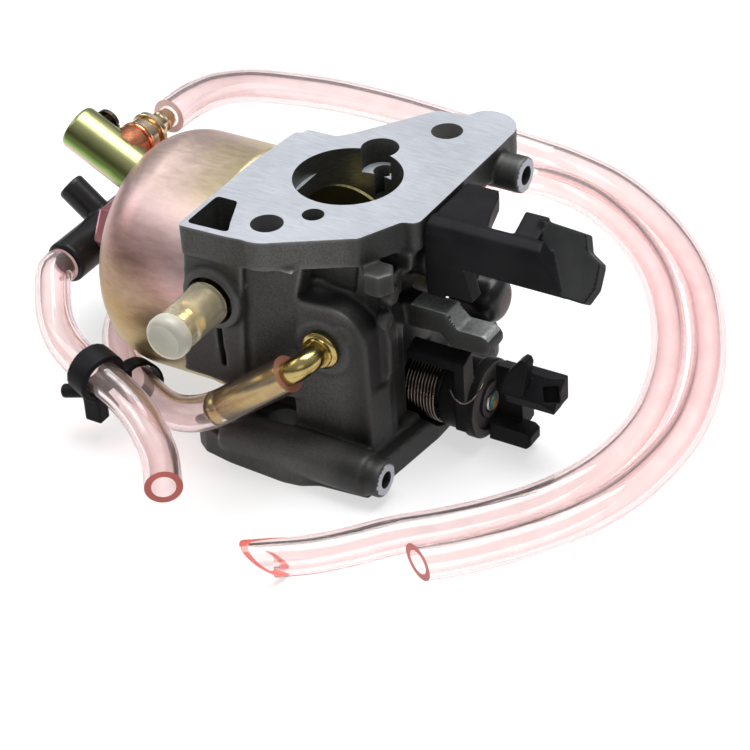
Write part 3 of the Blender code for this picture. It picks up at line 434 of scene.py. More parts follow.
def studio():
    world = bpy.data.worlds.new("studio")
    bpy.context.scene.world = world
    world.use_nodes = True
    nodes = world.node_tree.nodes
    links = world.node_tree.links
    background = nodes["Background"]
    way = nodes.new("ShaderNodeTexCoord")
    split = nodes.new("ShaderNodeSeparateXYZ")
    ramp = nodes.new("ShaderNodeValToRGB")
    links.new(way.outputs["Generated"], split.inputs["Vector"])
    links.new(split.outputs["Z"], ramp.inputs["Fac"])
    links.new(ramp.outputs["Color"], background.inputs["Color"])
    ramp.color_ramp.elements[0].position = 0.0
    ramp.color_ramp.elements[0].color = (0.10, 0.10, 0.11, 1.0)
    ramp.color_ramp.elements[1].position = 0.75
    ramp.color_ramp.elements[1].color = (0.85, 0.86, 0.88, 1.0)
    background.inputs["Strength"].default_value = 0.6
    area_light("top_light", (0.0, 0.2, 0.9), (0.0, 0.0, 0.02), (0.7, 0.7), 13.0)
    area_light("side_light", (-0.65, -0.2, 0.55), (0.0, 0.0, 0.03), (0.35, 0.4), 0.9)
    area_light("front_light", (0.35, -0.8, 0.5), (0.0, 0.0, 0.03), (0.5, 0.3), 0.4)
    bpy.context.scene.view_settings.view_transform = "Standard"
    floor = bpy.data.meshes.new("floor")
    half = FLOOR_HALF
    corners = [(-half, -half, 0.0), (half, -half, 0.0), (half, half, 0.0), (-half, half, 0.0)]
    floor.from_pydata(corners, [], [(0, 1, 2, 3)])
    floor.materials.append(floor_material())
    obj = bpy.data.objects.new("floor", floor)
    bpy.context.scene.collection.objects.link(obj)


# ---- materials

class Surface:
    """A Principled material with short calls for the nodes that the finishes share."""

    def __init__(self, name, colour, roughness, metallic=0.0, **sockets):
        self.material = bpy.data.materials.new(name)
        self.material.use_nodes = True
        self.nodes = self.material.node_tree.nodes
        self.links = self.material.node_tree.links
        self.shader = self.nodes["Principled BSDF"]
        self.shader.inputs["Base Color"].default_value = (*colour, 1.0)
        self.shader.inputs["Roughness"].default_value = roughness
        self.shader.inputs["Metallic"].default_value = metallic
        for socket, value in sockets.items():
            self.shader.inputs[socket.replace("_", " ")].default_value = value
        self.place = None
        self.height = None

    def node(self, kind, inputs, **settings):
        """New shader node with its settings; each input gets a value or a link from a socket."""
        made = self.nodes.new("ShaderNode" + kind)
        for name, value in settings.items():
            setattr(made, name, value)
        for key, value in inputs.items():
            if isinstance(value, bpy.types.NodeSocket):
                self.links.new(value, made.inputs[key])
            else:
                made.inputs[key].default_value = value
        return made

    def position(self, scale=(1.0, 1.0, 1.0)):
        if self.place is None:
            self.place = self.nodes.new("ShaderNodeTexCoord")
        return self.node("Mapping", {"Scale": scale, "Vector": self.place.outputs["Object"]}).outputs["Vector"]

    def noise(self, scale, detail=3.0, roughness=0.5, stretch=(1.0, 1.0, 1.0), distortion=0.0):
        inputs = {"Scale": scale, "Detail": detail, "Roughness": roughness, "Distortion": distortion}
        return self.node("TexNoise", {**inputs, "Vector": self.position(stretch)}).outputs["Fac"]

    def along(self, direction, start, end):
        """0 to 1 along a direction; start and end are millimetres from the bore's foot."""
        dot = self.node("VectorMath", {1: direction, 0: self.position()}, operation="DOT_PRODUCT")
        offset = BORE.dot(Vector(direction))
        span = {"From Min": offset + start * MM, "From Max": offset + end * MM}
        return self.node("MapRange", {**span, "Value": dot.outputs["Value"]}).outputs["Result"]

    def drift(self, climb, noise, share):
        """A 0 to 1 value pushed up and down by a noise."""
        push = self.node("Math", {0: noise, 1: share, 2: climb}, operation="MULTIPLY_ADD")
        centred = self.node("Math", {0: push.outputs["Value"], 1: share / 2.0}, operation="SUBTRACT")
        return centred.outputs["Value"]

    def ramp(self, factor, stops):
        node = self.node("ValToRGB", {"Fac": factor})
        elements = node.color_ramp.elements
        while len(elements) < len(stops):
            elements.new(0.5)
        for element, (position, colour) in zip(elements, stops):
            element.position = position
            element.color = (*colour, 1.0)
        return node.outputs["Color"]

    def blend(self, factor, first, second, mode="MIX"):
        colours = [(*value, 1.0) if isinstance(value, tuple) else value for value in (first, second)]
        inputs = {0: factor, 6: colours[0], 7: colours[1]}
        return self.node("Mix", inputs, data_type="RGBA", blend_type=mode).outputs[2]

    def colour(self, socket):
        self.links.new(socket, self.shader.inputs["Base Color"])
        return self

    def roughness(self, factor, low, high):
        node = self.node("MapRange", {"To Min": low, "To Max": high, "Value": factor})
        self.links.new(node.outputs["Result"], self.shader.inputs["Roughness"])
        return self

    def bump(self, factor, distance_mm, strength=1.0):
        inputs = {"Distance": distance_mm * MM, "Strength": strength, "Height": factor}
        if self.height is not None:
            inputs["Normal"] = self.height
        self.height = self.node("Bump", inputs).outputs["Normal"]
        self.links.new(self.height, self.shader.inputs["Normal"])
        return self

    def edges(self, reach):
        """1 on rounded outer edges and 0 on flats, or 1 in hollows with a reach below zero."""
        pointiness = self.node("NewGeometry", {}).outputs["Pointiness"]
        span = {"From Min": 0.50, "From Max": 0.50 + reach}
        return self.node("MapRange", {**span, "Value": pointiness}).outputs["Result"]


def greys(stops):
    return [(position, (level, level, level)) for position, level in stops]


def floor_material():
    surface = Surface("floor_pale", (0.34, 0.34, 0.34), 0.8)
    surface.shader.inputs["Emission Color"].default_value = (1.0, 1.0, 1.0, 1.0)
    surface.shader.inputs["Emission Strength"].default_value = 0.6
    return surface.material


# Painted light and shade in the casting's skin colour: how dark it is made from its bowl side to its lever side, and
# from its foot to its top, for the shade on the lever side and the light on the top rim.
CAST_PAINTED_SHADE_ACROSS = [(0.0, 0.55), (0.30, 0.65), (0.45, 1.0), (0.60, 0.8), (0.66, 0.32), (0.72, 0.25), (0.79, 0.38),
                    (1.0, 0.3)]
CAST_PAINTED_LIGHT_UPWARD = [(0.0, 0.70), (0.10, 0.75), (0.20, 1.1), (0.35, 1.0), (0.84, 0.85), (0.90, 1.3)]


def cast_aluminium():
    surface = Surface("cast_aluminium", (0.06, 0.06, 0.06), 0.5, 0.35)
    cloud = surface.noise(90.0, 5.0, 0.6)
    shade = surface.ramp(cloud, [(0.3, (0.040, 0.039, 0.037)), (0.5, (0.060, 0.059, 0.056)),
                                 (0.72, (0.090, 0.089, 0.084))])
    grain = surface.noise(2600.0, 2.0)
    speckle = surface.ramp(grain, [(0.35, (0.02, 0.02, 0.02)), (0.7, (0.14, 0.14, 0.135))])
    shade = surface.blend(0.3, shade, speckle)
    shade = surface.blend(surface.edges(0.06), shade, (0.20, 0.20, 0.195))
    shade = surface.blend(surface.edges(-0.05), shade, (0.012, 0.012, 0.011))
    # Painted shade and light: the colour is multiplied darker on the lever side and at the foot, and lighter at the
    # top rim.
    across = surface.ramp(surface.along((1.0, 0.0, 0.0), -25.0, 35.0), greys(CAST_PAINTED_SHADE_ACROSS))
    painted_light_upward = surface.ramp(surface.along((0.0, 0.0, 1.0), 0.0, HEIGHT), greys(CAST_PAINTED_LIGHT_UPWARD))
    shade = surface.blend(1.0, surface.blend(1.0, shade, across, "MULTIPLY"), painted_light_upward, "MULTIPLY")
    surface.colour(shade).roughness(cloud, 0.40, 0.60)
    surface.bump(grain, 0.05, 0.4).bump(surface.noise(700.0, 3.0), 0.08, 0.3)
    return surface.material


# Painted light: a lighter copy of the cast finish for the arm's upward faces, standing in for the light falling on
# them.
def painted_light_arm_aluminium():
    surface = Surface("painted_light_arm_aluminium", (0.30, 0.31, 0.31), 0.42, 0.4)
    grain = surface.noise(1600.0, 3.0, 0.6)
    surface.colour(surface.ramp(grain, [(0.3, (0.22, 0.23, 0.22)), (0.7, (0.40, 0.41, 0.41))]))
    surface.bump(grain, 0.04, 0.35).roughness(surface.noise(200.0, 3.0), 0.34, 0.5)
    return surface.material


def machined_aluminium():
    surface = Surface("machined_aluminium", (0.37, 0.38, 0.42), 0.35, 0.4)
    cloud = surface.noise(60.0, 4.0, 0.6)
    streak = surface.noise(900.0, 3.0, 0.6, (0.25, 3.0, 1.0))
    shade = surface.ramp(cloud, [(0.3, (0.33, 0.345, 0.38)), (0.7, (0.44, 0.46, 0.50))])
    fine = surface.ramp(streak, [(0.4, (0.27, 0.28, 0.31)), (0.6, (0.54, 0.56, 0.60))])
    shade = surface.blend(0.18, shade, fine)
    mark = surface.ramp(surface.noise(240.0, 4.0, 0.7), greys([(0.62, 0.0), (0.72, 0.35)]))
    surface.colour(surface.blend(mark, shade, (0.22, 0.22, 0.24)))
    surface.roughness(streak, 0.30, 0.5).bump(streak, 0.01, 0.3)
    return surface.material


# Plating colours from the bowl's underside to the lever side of its top.
PLATING_BANDS = [(0.05, (0.46, 0.38, 0.14)), (0.30, (0.44, 0.33, 0.14)), (0.40, (0.36, 0.24, 0.14)),
                 (0.49, (0.36, 0.20, 0.16)), (0.58, (0.56, 0.32, 0.31)), (0.68, (0.66, 0.47, 0.48)),
                 (0.77, (0.66, 0.50, 0.45)), (0.86, (0.70, 0.58, 0.34)), (1.0, (0.66, 0.64, 0.26))]


def yellow_zinc():
    """Yellow chromate plating: gold that turns pink, lilac and green in broad soft patches."""
    surface = Surface("yellow_zinc", (0.6, 0.45, 0.30), 0.32, 0.9)
    broad = surface.noise(42.0, 2.0, 0.5, (1.0, 1.0, 1.3), 0.8)
    climb = surface.along((0.36, 0.0, 0.93), -10.0, 46.0)
    hue = surface.ramp(surface.drift(climb, broad, 0.30), PLATING_BANDS)
    streak = surface.noise(900.0, 4.0, 0.65, (0.35, 1.0, 1.0))
    fine = surface.ramp(streak, [(0.35, (0.30, 0.21, 0.16)), (0.65, (0.80, 0.70, 0.52))])
    hue = surface.blend(0.16, hue, fine)
    stain = surface.ramp(surface.noise(170.0, 5.0, 0.7), greys([(0.66, 0.0), (0.74, 0.4)]))
    hue = surface.blend(stain, hue, (0.12, 0.10, 0.06))
    surface.colour(hue).roughness(streak, 0.30, 0.46).bump(streak, 0.012, 0.3)
    return surface.material


# Turret colours from its underside to its top: the plating's pink and green hues, with a painted reflection of the
# pale floor on the underside and of the dark room as the dark band in the middle.
TURRET_HUES_AND_PAINTED_REFLECTIONS = [(0.30, (0.66, 0.46, 0.38)), (0.40, (0.30, 0.46, 0.14)), (0.54, (0.10, 0.15, 0.04)),
                (0.68, (0.12, 0.13, 0.04)), (0.86, (0.30, 0.31, 0.14))]


def green_zinc():
    """Green plating that turns pink on the turret's underside, with painted reflections: a dark band along its
    middle for the dark room and a lighter underside for the pale floor.
    """
    surface = Surface("green_zinc", (0.25, 0.28, 0.10), 0.34, 0.95)
    middle = TURRET_FOOT.dot(TURRET_UP)
    climb = surface.along(TURRET_UP, middle - TURRET_R, middle + TURRET_R)
    hue = surface.drift(climb, surface.noise(160.0, 2.0, 0.5), 0.12)
    surface.colour(surface.ramp(hue, TURRET_HUES_AND_PAINTED_REFLECTIONS))
    streak = surface.noise(800.0, 3.0, 0.6, (1.0, 4.0, 1.0))
    surface.roughness(streak, 0.28, 0.42).bump(streak, 0.01, 0.25)
    return surface.material


def mottled(name, stops, cloud, roughness, metallic=0.0, span=None, grain=None, gloss=0.5):
    """Finish whose colour follows one noise, as its roughness may over a span.

    cloud holds the noise's scale, detail, roughness and stretch; grain holds the same of a second noise,
    with its depth in millimetres and its strength."""
    surface = Surface(name, stops[-1][1], roughness, metallic, Specular_IOR_Level=gloss)
    patch = surface.noise(*cloud)
    surface.colour(surface.ramp(patch, stops))
    if span:
        surface.roughness(patch, *span)
    if grain:
        surface.bump(surface.noise(*grain[0]), *grain[1])
    return surface.material


def brass(name, colour):
    stops = [(0.3, tuple(0.72 * v for v in colour)), (0.6, colour)]
    return mottled(name, stops, (300.0, 4.0, 0.6), 0.18, 1.0, (0.12, 0.3), ((1500.0, 2.0), (0.01, 0.2)))


def plastic(name, colour, low, high, gloss=0.05):
    stops = [(0.3, colour), (0.7, tuple(min(1.0, v * 1.5 + 0.002) for v in colour))]
    return mottled(name, stops, (120.0, 3.0, 0.5), high, 0.0, (low, high), ((1800.0, 3.0, 0.6), (0.03, 0.35)), gloss)


def clear_vinyl(name, core, rim, roughness, ior, clarity):
    """Clear tube: tinted more where it is seen edge on, and it lets the lamps' light through."""
    surface = Surface(name, core, roughness, 0.0, Transmission_Weight=clarity, IOR=ior, Specular_IOR_Level=0.6)
    facing = surface.node("LayerWeight", {"Blend": 0.35}).outputs["Facing"]
    tint = surface.ramp(facing, [(0.25, core), (0.85, rim)])
    veil = surface.ramp(surface.noise(220.0, 3.0), greys([(0.3, 0.94), (0.7, 1.0)]))
    surface.colour(surface.blend(1.0, tint, veil, "MULTIPLY"))
    surface.bump(surface.noise(160.0, 2.0, 0.5), 0.05, 0.3)
    through = surface.node("BsdfTransparent", {"Color": (*core, 1.0)}).outputs["BSDF"]
    shadow = surface.node("LightPath", {}).outputs["Is Shadow Ray"]
    mixed = surface.node("MixShader", {"Fac": shadow, 1: surface.shader.outputs["BSDF"], 2: through})
    surface.links.new(mixed.outputs["Shader"], surface.nodes["Material Output"].inputs["Surface"])
    return surface.material


BORED = [(0.3, (0.10, 0.10, 0.095)), (0.7, (0.20, 0.20, 0.19))]
BORE_MARKS = (500.0, 3.0, 0.6, (1.0, 1.0, 12.0))
PINK_PLATING = [(0.35, (0.58, 0.18, 0.24)), (0.55, (0.68, 0.30, 0.32)), (0.7, (0.62, 0.50, 0.30))]
STEEL = [(0.3, (0.32, 0.31, 0.29)), (0.7, (0.55, 0.54, 0.52))]
TWO_PAINTS = [(0.50, (0.02, 0.20, 0.18)), (0.54, (0.60, 0.20, 0.05))]
PAINT_PATCH = (420.0, 2.0, 0.5)


def make_materials():
    return {
        "cast": cast_aluminium(),
        "machined": machined_aluminium(),
        "trimmed": painted_light_arm_aluminium(),
        "bore": mottled("bored_and_pocket_light_aluminium", BORED, BORE_MARKS, 0.38, 0.8, grain=(BORE_MARKS, (0.015, 0.4))),
        "zinc": yellow_zinc(),
        "green": green_zinc(),
        "pink": mottled("pink_zinc", PINK_PLATING, (110.0, 2.0), 0.3, 0.85, grain=((700.0, 3.0), (0.012, 0.3))),
        "brass": brass("brass", (0.80, 0.58, 0.24)),
        "dull_brass": brass("dull_brass", (0.36, 0.31, 0.13)),
        "elbow_brass": brass("elbow_brass", (0.50, 0.39, 0.15)),
        "copper": brass("copper", (0.80, 0.30, 0.16)),
        "steel": mottled("bright_steel", STEEL, (700.0, 3.0), 0.3, 1.0, (0.22, 0.42)),
        "black": plastic("black_nylon", (0.009, 0.009, 0.010), 0.34, 0.5),
        # Painted light: a lighter copy of the black nylon for the choke paddle's face, which leans up into the
        # light.
        "rubbed": plastic("paddle_painted_light_nylon", (0.024, 0.025, 0.024), 0.4, 0.55),
        # Painted light: a lighter copy of the black nylon for the throttle hub's end face, standing in for the light
        # it reflects.
        "worn": plastic("hub_end_painted_light_nylon", (0.062, 0.060, 0.057), 0.4, 0.55),
        "rubber": plastic("black_rubber", (0.008, 0.008, 0.009), 0.26, 0.4, 0.35),
        "float": plastic("float_foam", (0.03, 0.03, 0.03), 0.5, 0.7),
        "hose": clear_vinyl("clear_hose", (0.96, 0.86, 0.855), (0.58, 0.29, 0.30), 0.04, 1.46, 0.97),
        "hose_cut": plastic("hose_cut_rim", (0.42, 0.10, 0.085), 0.25, 0.4, 0.3),
        "hose_grip": plastic("hose_grip_rim", (0.26, 0.12, 0.08), 0.25, 0.4, 0.3),
        "hose_start": plastic("hose_start_rim", (0.66, 0.50, 0.48), 0.3, 0.5, 0.3),
        "cap": clear_vinyl("milky_cap", (0.86, 0.83, 0.70), (0.62, 0.60, 0.48), 0.16, 1.35, 0.9),
        "cap_end": clear_vinyl("milky_cap_end", (0.55, 0.54, 0.47), (0.70, 0.69, 0.62), 0.3, 1.35, 0.35),
        "pale_brass": brass("pale_brass", (0.76, 0.60, 0.40)),
        "spring": brass("spring_wire", (0.17, 0.14, 0.12)),
        "tee": plastic("glossy_black_rubber", (0.010, 0.010, 0.011), 0.22, 0.38, 0.2),
        "paint": mottled("inspection_paint", TWO_PAINTS, PAINT_PATCH, 0.4, grain=(PAINT_PATCH, (0.05, 0.3))),
    }


# ---- hoses

# Centre lines of the hoses, from their fittings to their far ends.
DRAIN_ROUTE = [
    (BARB.x, 18.1, BARB.z), (-56.2, 26.5, 44.0), (-56.6, 36.6, 41.6), (-56.1, 48.8, 36.8), (-53.2, 60.4, 31.0),
    (-47.7, 72.6, 24.4), (-39.5, 83.6, 17.4), (-30.5, 92.0, 11.2), (-20.2, 97.6, 6.6), (-10.1, 99.6, 4.4),
    (-0.6, 98.8, 3.85), (12.4, 94.7, 3.85), (25.2, 87.0, 3.85), (37.0, 77.0, 3.85), (46.4, 66.0, 3.85),
    (54.0, 53.6, 3.85), (60.0, 41.0, 3.85), (64.2, 28.4, 3.85), (66.6, 15.6, 3.85), (66.6, 3.0, 3.85),
    (64.4, -9.6, 3.85), (59.6, -21.4, 3.85), (52.6, -31.8, 3.85), (45.6, -39.8, 3.85), (39.4, -45.4, 3.85)]
FUEL_ROUTE = [
    PIPE_END + PIPE_WAY * GAP, KNEE + PIPE_WAY * 14.0, KNEE + PIPE_WAY * 25.6, (-21.4, -32.2, 9.9),
    (-30.2, -28.8, 7.0), (-40.7, -22.5, 5.45), (-49.0, -15.8, 4.3),
    (-56.4, -7.4, 3.95), (-61.4, 4.0, 3.85), (-63.0, 18.0, 3.85), (-60.0, 33.4, 3.85), (-53.0, 48.4, 3.85),
    (-43.0, 62.4, 3.85), (-31.0, 75.0, 3.85), (-18.4, 84.6, 3.85), (-5.0, 89.2, 3.85), (8.2, 87.2, 3.85),
    (20.0, 80.6, 3.85), (31.0, 71.2, 3.85), (39.6, 61.0, 3.85), (46.8, 49.4, 3.85), (52.4, 37.6, 3.85),
    (56.2, 26.0, 3.85), (58.4, 14.4, 3.85), (58.4, 3.6, 3.85), (56.4, -7.0, 3.85), (52.0, -17.4, 3.85),
    (45.6, -26.4, 3.85), (38.8, -33.8, 3.85), (31.6, -40.4, 3.85), (25.6, -47.4, 3.85), (19.8, -53.0, 3.85),
    (13.0, -57.6, 3.85)]
VENT_ROUTE = [
    (TEE.x, TEE_MOUTH_Y - GAP, TEE.z), (TEE.x, -14.6, TEE.z), (-62.9, -19.6, 19.4), (-58.6, -24.9, 17.8),
    (-53.2, -29.4, 16.6), (-47.6, -32.4, 15.9), (-41.4, -34.6, 15.2), (-34.6, -36.4, 13.8), (-28.9, -38.7, 12.4),
    (-23.4, -42.2, 11.2), (-17.7, -47.0, 10.4), (-11.5, -54.6, 10.2)]


def hose(name, route, start_look, cut_normal=None):
    """Hollow clear tube with its cut end faces in their own materials."""
    start = Vector(route[0])
    points = [start, start.lerp(Vector(route[1]), 0.12)] + smooth_route(route, 1.6)[1:]
    bm = swept(points, (HOSE_R, HOSE_BORE_R), 36, cut_normal)
    obj = piece(name + "_clear", bm, "hose hose_cut " + start_look, [name])
    world = [BORE + point * MM for point in points]
    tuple(world[0])
    route_length(world)


def hoses():
    hose("drain_hose", DRAIN_ROUTE, "hose_start", Vector((-0.45, -0.88, -0.05)))
    hose("fuel_hose", FUEL_ROUTE, "hose_grip", Vector((-0.54, -0.36, -0.77)))
    hose("vent_hose", VENT_ROUTE, "hose_start")


# ---- casting

def top_flange():
    outline = [(-20.1, -29.9), (-9.0, -29.5)]
    outline += arc(STUDS[0], 7.2, -100, -50, 6)
    outline += [(13.2, -19.4)] + arc((12.2, -17.8), 2.0, -50, -25, 3)
    outline += [(18.2, -10.4), (20.4, -9.9), (21.3, -8.8), (21.4, 24.0)]
    outline += arc((14.6, 28.6), 6.8, -10, 120, 12)
    outline += [(9.4, 31.6), (3.0, 30.6), (-8.0, 14.9), (-10.2, 12.6)]
    outline += [(-18.4, 12.4), (-19.0, 8.2), (-20.1, -5.0)]
    return prism(outline, HEIGHT - FLANGE_T, HEIGHT + 1.5)


def engine_flange():
    outline = [(-19.9, -20.0), (-22.6, -26.2), (-21.8, -28.2), (-18.9, -30.2), (-12.4, -31.3), (0.6, -32.0)]
    outline += [(4.4, -31.5), (7.8, -29.7), (18.5, -28.8), (19.6, -19.0), (21.2, -5.0), (21.2, 20.0)]
    outline += arc((9.5, 24.5), 8.6, 0, 120, 12)
    outline += [(-8.0, 17.0), (-18.0, 15.0), (-19.9, 12.0)]
    bm = prism(outline, -1.2, ENGINE_FLANGE_T)
    rim = [e for e in bm.edges if all(abs(v.co.z - ENGINE_FLANGE_T) < 0.01 for v in e.verts)]
    bmesh.ops.bevel(bm, geom=rim, offset=2.0, segments=4, affect="EDGES")
    return bm


def left_block():
    outline = [(-20.0, 20.0), (-17.5, 16.5), (1.5, 15.0), (1.5, 39.5), (3.5, 47.4), (-20.0, 47.4)]
    main = prism(outline, -27.0, -9.0, "Y")
    low = [(-24.1, -27.7, 17.0), (-9.5, -27.7, 17.0), (-9.5, -26.0, 17.0), (-24.1, -26.0, 17.0)]
    high = [(-19.95, -29.3, 47.9), (-6.5, -29.3, 47.9), (-6.5, -26.0, 47.9), (-19.95, -26.0, 47.9)]
    slope = prism([(-7.4, -27.1), (-5.0, -31.0), (6.0, -31.0), (6.0, -23.2), (1.4, -23.2)], 10.0, 46.8)
    return cut(union(main, loft(low, high)), slope)


def casting_blocks():
    """Walls, blocks and the bowl deck, before any edge is rounded."""
    inlet = [(-1.0, 7.0), (16.6, 7.0)] + arc((8.6, 30.5), 8.0, 0, 90, 12) + [(-1.0, 38.5)]
    walls = [(16.6, -23.0), (17.8, -17.0), (13.6, -13.0), (13.6, 13.0), (-19.2, 10.0), (-19.2, -15.0)]
    walls.append((-4.0, -17.6))
    blocks = [left_block(), prism(inlet, INLET.y, -9.0, "Y"), prism(walls, 7.0, 20.0),
              box((-19.6, -17.3, 7.2), (13.4, 13.8, 48.2)), box((12.6, -17.2, 6.8), (17.6, -14.2, 43.0)),
              lathe([(15.2, 0.0), (15.2, HEIGHT - 1.0)], (0, 0, 0.5), (0, 0, 1), 64),
              lathe([(24.9, 0.0), (24.9, 4.5)], (DECK_X - 0.6, 0, BOWL_Z), (1, 0, 0), 96),
              rod(4.6, (-19.0, 0, BOWL_Z), (PILLAR_END_X, 0, BOWL_Z), 32)]
    for side in (-1, 1):
        low = BOWL_Z + side * 5.9 - 1.1
        blocks.append(box((-28.7, -17.8, low), (-19.0, -13.2, low + 2.2)))
    return blocks


def casting_ribs():
    """Raised details of the casting that the front and the lever side show."""
    lug = [(16.0, 20.0), (18.2, 22.5), (18.4, 30.0), (17.6, 34.5), (16.0, 34.5)]
    corner = [(13.0, 46.9), (20.6, 46.9), (20.2, 43.6), (17.4, 41.0), (13.0, 40.2)]
    return [prism([(-3.6, -17.8), (15.8, -23.4), (16.6, -22.6), (16.6, -19.0), (-3.6, -15.0)], 12.0, 16.6),
            prism(lug, -17.6, -13.8, "Y"), prism(corner, -11.2, -8.8, "Y"),
            box((17.0, -14.0, 38.4), (18.4, -11.4, 43.4)),
            lathe([(2.0, 0.0), (2.0, 2.2), (1.5, 2.6)], (16.8, -16.0, 40.2), (1, 0, 0), 24),
            lathe([(2.1, 0.0), (2.1, 1.7), (1.6, 2.1)], (16.9, -18.0, 35.6), (1, 0, 0), 24),
            prism(arc((11.6, 33.2), 2.2, 0, 360, 20)[:-1], INLET.y - 0.35, INLET.y + 1.0, "Y")]


def casting_bosses():
    return [rod(POST_R, (10.0, *UPPER_POST), (27.0, *UPPER_POST), 40),
            rod(POST_R, (6.0, *LOWER_POST), (22.6, *LOWER_POST), 40),
            rod(4.6, (-15.0, -27.0, 4.8), (19.4, *LOWER_POST), 40, 0.6),
            lathe([(6.7, 0.0), (6.7, 5.4), (6.1, 6.0)], (NIPPLE.x, -24.6, NIPPLE.z), (0, -1, 0), 48),
            lathe([(6.6, 0.0), (6.6, 1.4), (5.9, 2.0)], (INLET.x, -21.8, INLET.z), (0, -1, 0), 40),
            lathe([(3.4, 0.0), (3.4, 4.7)], (17.3, -18.4, 42.5), (0, 0, 1), 6),
            rod(4.2, (0.0, 10.0, PILOT_Z), (0.0, 16.6, PILOT_Z), 32, 0.5),
            rod(4.4, VACUUM_PORT - Vector((1, 0, 0)), VACUUM_PORT + Vector((4, 0, 0)), 32, 0.5),
            rod(BOSS_R, (10.0, 0, CHOKE_Z), (19.6, 0, CHOKE_Z), 40),
            rod(BOSS_R, (8.0, 0, THROTTLE_Z), (21.6, 0, THROTTLE_Z), 40)]


def cast_arm():
    """Stepped arm that reaches out over the throttle lever."""
    outline = [(12.0, 28.0), (24.6, 28.2), (26.4, 25.8), (33.0, 25.8)]
    outline += arc((33.2, 28.0), 2.3, -70, 60, 8)
    outline += [(33.6, 30.3), (28.2, 30.3), (27.0, 31.6), (25.6, 33.4), (12.0, 33.4)]
    return prism(outline, -8.2, -2.5, "Y")


def casting_cutters():
    """Bores, holes and faces that are machined after casting."""
    top = HEIGHT + 3.0
    bore = [(THROTTLE_BORE_R, -3.0), (THROTTLE_BORE_R, 19.6), (VENTURI_R, 23.4), (VENTURI_R, 26.6)]
    bore += [(INTAKE_R, 29.4), (INTAKE_R, top)]
    drilled = [
        (3.9, (0.1, 12.3, HEIGHT - 5.5), (0.1, 12.3, top), 40),
        (2.3, (0.5, 12.9, 42.0), (0.5, 12.9, top), 32),
        (2.2, (1.5, -15.4, 43.0), (1.5, -15.4, top), 32),
        (STUD_HOLE_R, (*STUDS[0], -3), (*STUDS[0], top), 48),
        (STUD_HOLE_R, (*STUDS[1], -3), (*STUDS[1], top), 48),
        (SHAFT_R + 0.05, (-15.0, 0, CHOKE_Z), (25.0, 0, CHOKE_Z), 32),
        (SHAFT_R + 0.05, (-14.0, 0, THROTTLE_Z), (25.0, 0, THROTTLE_Z), 32),
        (3.2, (PILLAR_END_X - 1, 0, BOWL_Z), (-37.0, 0, BOWL_Z), 24),
        (5.2, NIPPLE + Vector((0, -4, 0)), NIPPLE + Vector((0, 2.0, 0)), 40),
        (2.8, NIPPLE + Vector((0, 1, 0)), NIPPLE + Vector((0, 9.0, 0)), 24),
        (2.8, INLET + Vector((0, -3, 0)), INLET + Vector((0, 6.0, 0)), 24),
        (2.0, (17.0, *UPPER_POST), (29.0, *UPPER_POST), 32),
        (1.8, (14.0, *LOWER_POST), (24.0, *LOWER_POST), 32),
        (2.3, (0.0, 11.4, PILOT_Z), (0.0, 18.0, PILOT_Z), 24),
        (2.1, VACUUM_PORT - Vector((0.5, 0, 0)), VACUUM_PORT + Vector((5, 0, 0)), 24),
        (8.3, (LEVER_X, 0, THROTTLE_Z), (30.0, 0, THROTTLE_Z), 48)]
    faced = [box((-60.0, -60.0, HEIGHT), (60.0, 60.0, HEIGHT + 8.0)), box((-60.0, -60.0, -8.0), (60.0, 60.0, 0.0))]
    return [lathe(bore, (0, 0, 0), (0, 0, 1), 96)] + [rod(*hole) for hole in drilled] + faced


def casting_hollows():
    """Cast-in pockets, rounded with the rest of the casting."""
    pocket = [(-19.1, -28.4), (-9.7, -28.0), (-11.3, -24.8), (-12.8, -21.2), (-14.3, -17.6), (-19.1, -17.6)]
    trench = [(BOSS_R - 0.1, 0), (8.3, 0), (8.3, 8.0), (BOSS_R - 0.1, 8.0)]
    recess = [(1.2, 40.0), (11.2, 39.4), (12.2, 46.9), (2.6, 46.9)]
    return [prism(pocket, 44.0, HEIGHT + 4.0), ring(trench, (13.8, 0, THROTTLE_Z), (1, 0, 0)),
            box((-14.7, -30.5, 21.0), (-13.5, -25.8, 32.4)),
            box((-20.6, 10.6, HEIGHT - 2.6), (-17.2, 14.0, HEIGHT + 4.0)), prism(recess, -21.4, -16.2, "Y")]


def carburetor_body():
    rough = union(top_flange(), engine_flange(), *casting_blocks(), *casting_ribs(), *casting_bosses(), cast_arm())
    rough = cut(rough, *casting_hollows())
    ledge = prism(arc((0.0, 0.0), INTAKE_R + 1.5, 144, 216, 12), HEIGHT - 7.6, HEIGHT - 4.2)
    body = machined(cast(rough, 0.42, 7), *casting_cutters())
    body = combine(body, [ledge], "UNION", "MANIFOLD")
    for face in body.faces:
        face.material_index = casting_finish(face)
    piece("casting_skin", body, "cast machined bore trimmed", ["carburetor_body"], angle=40.0)


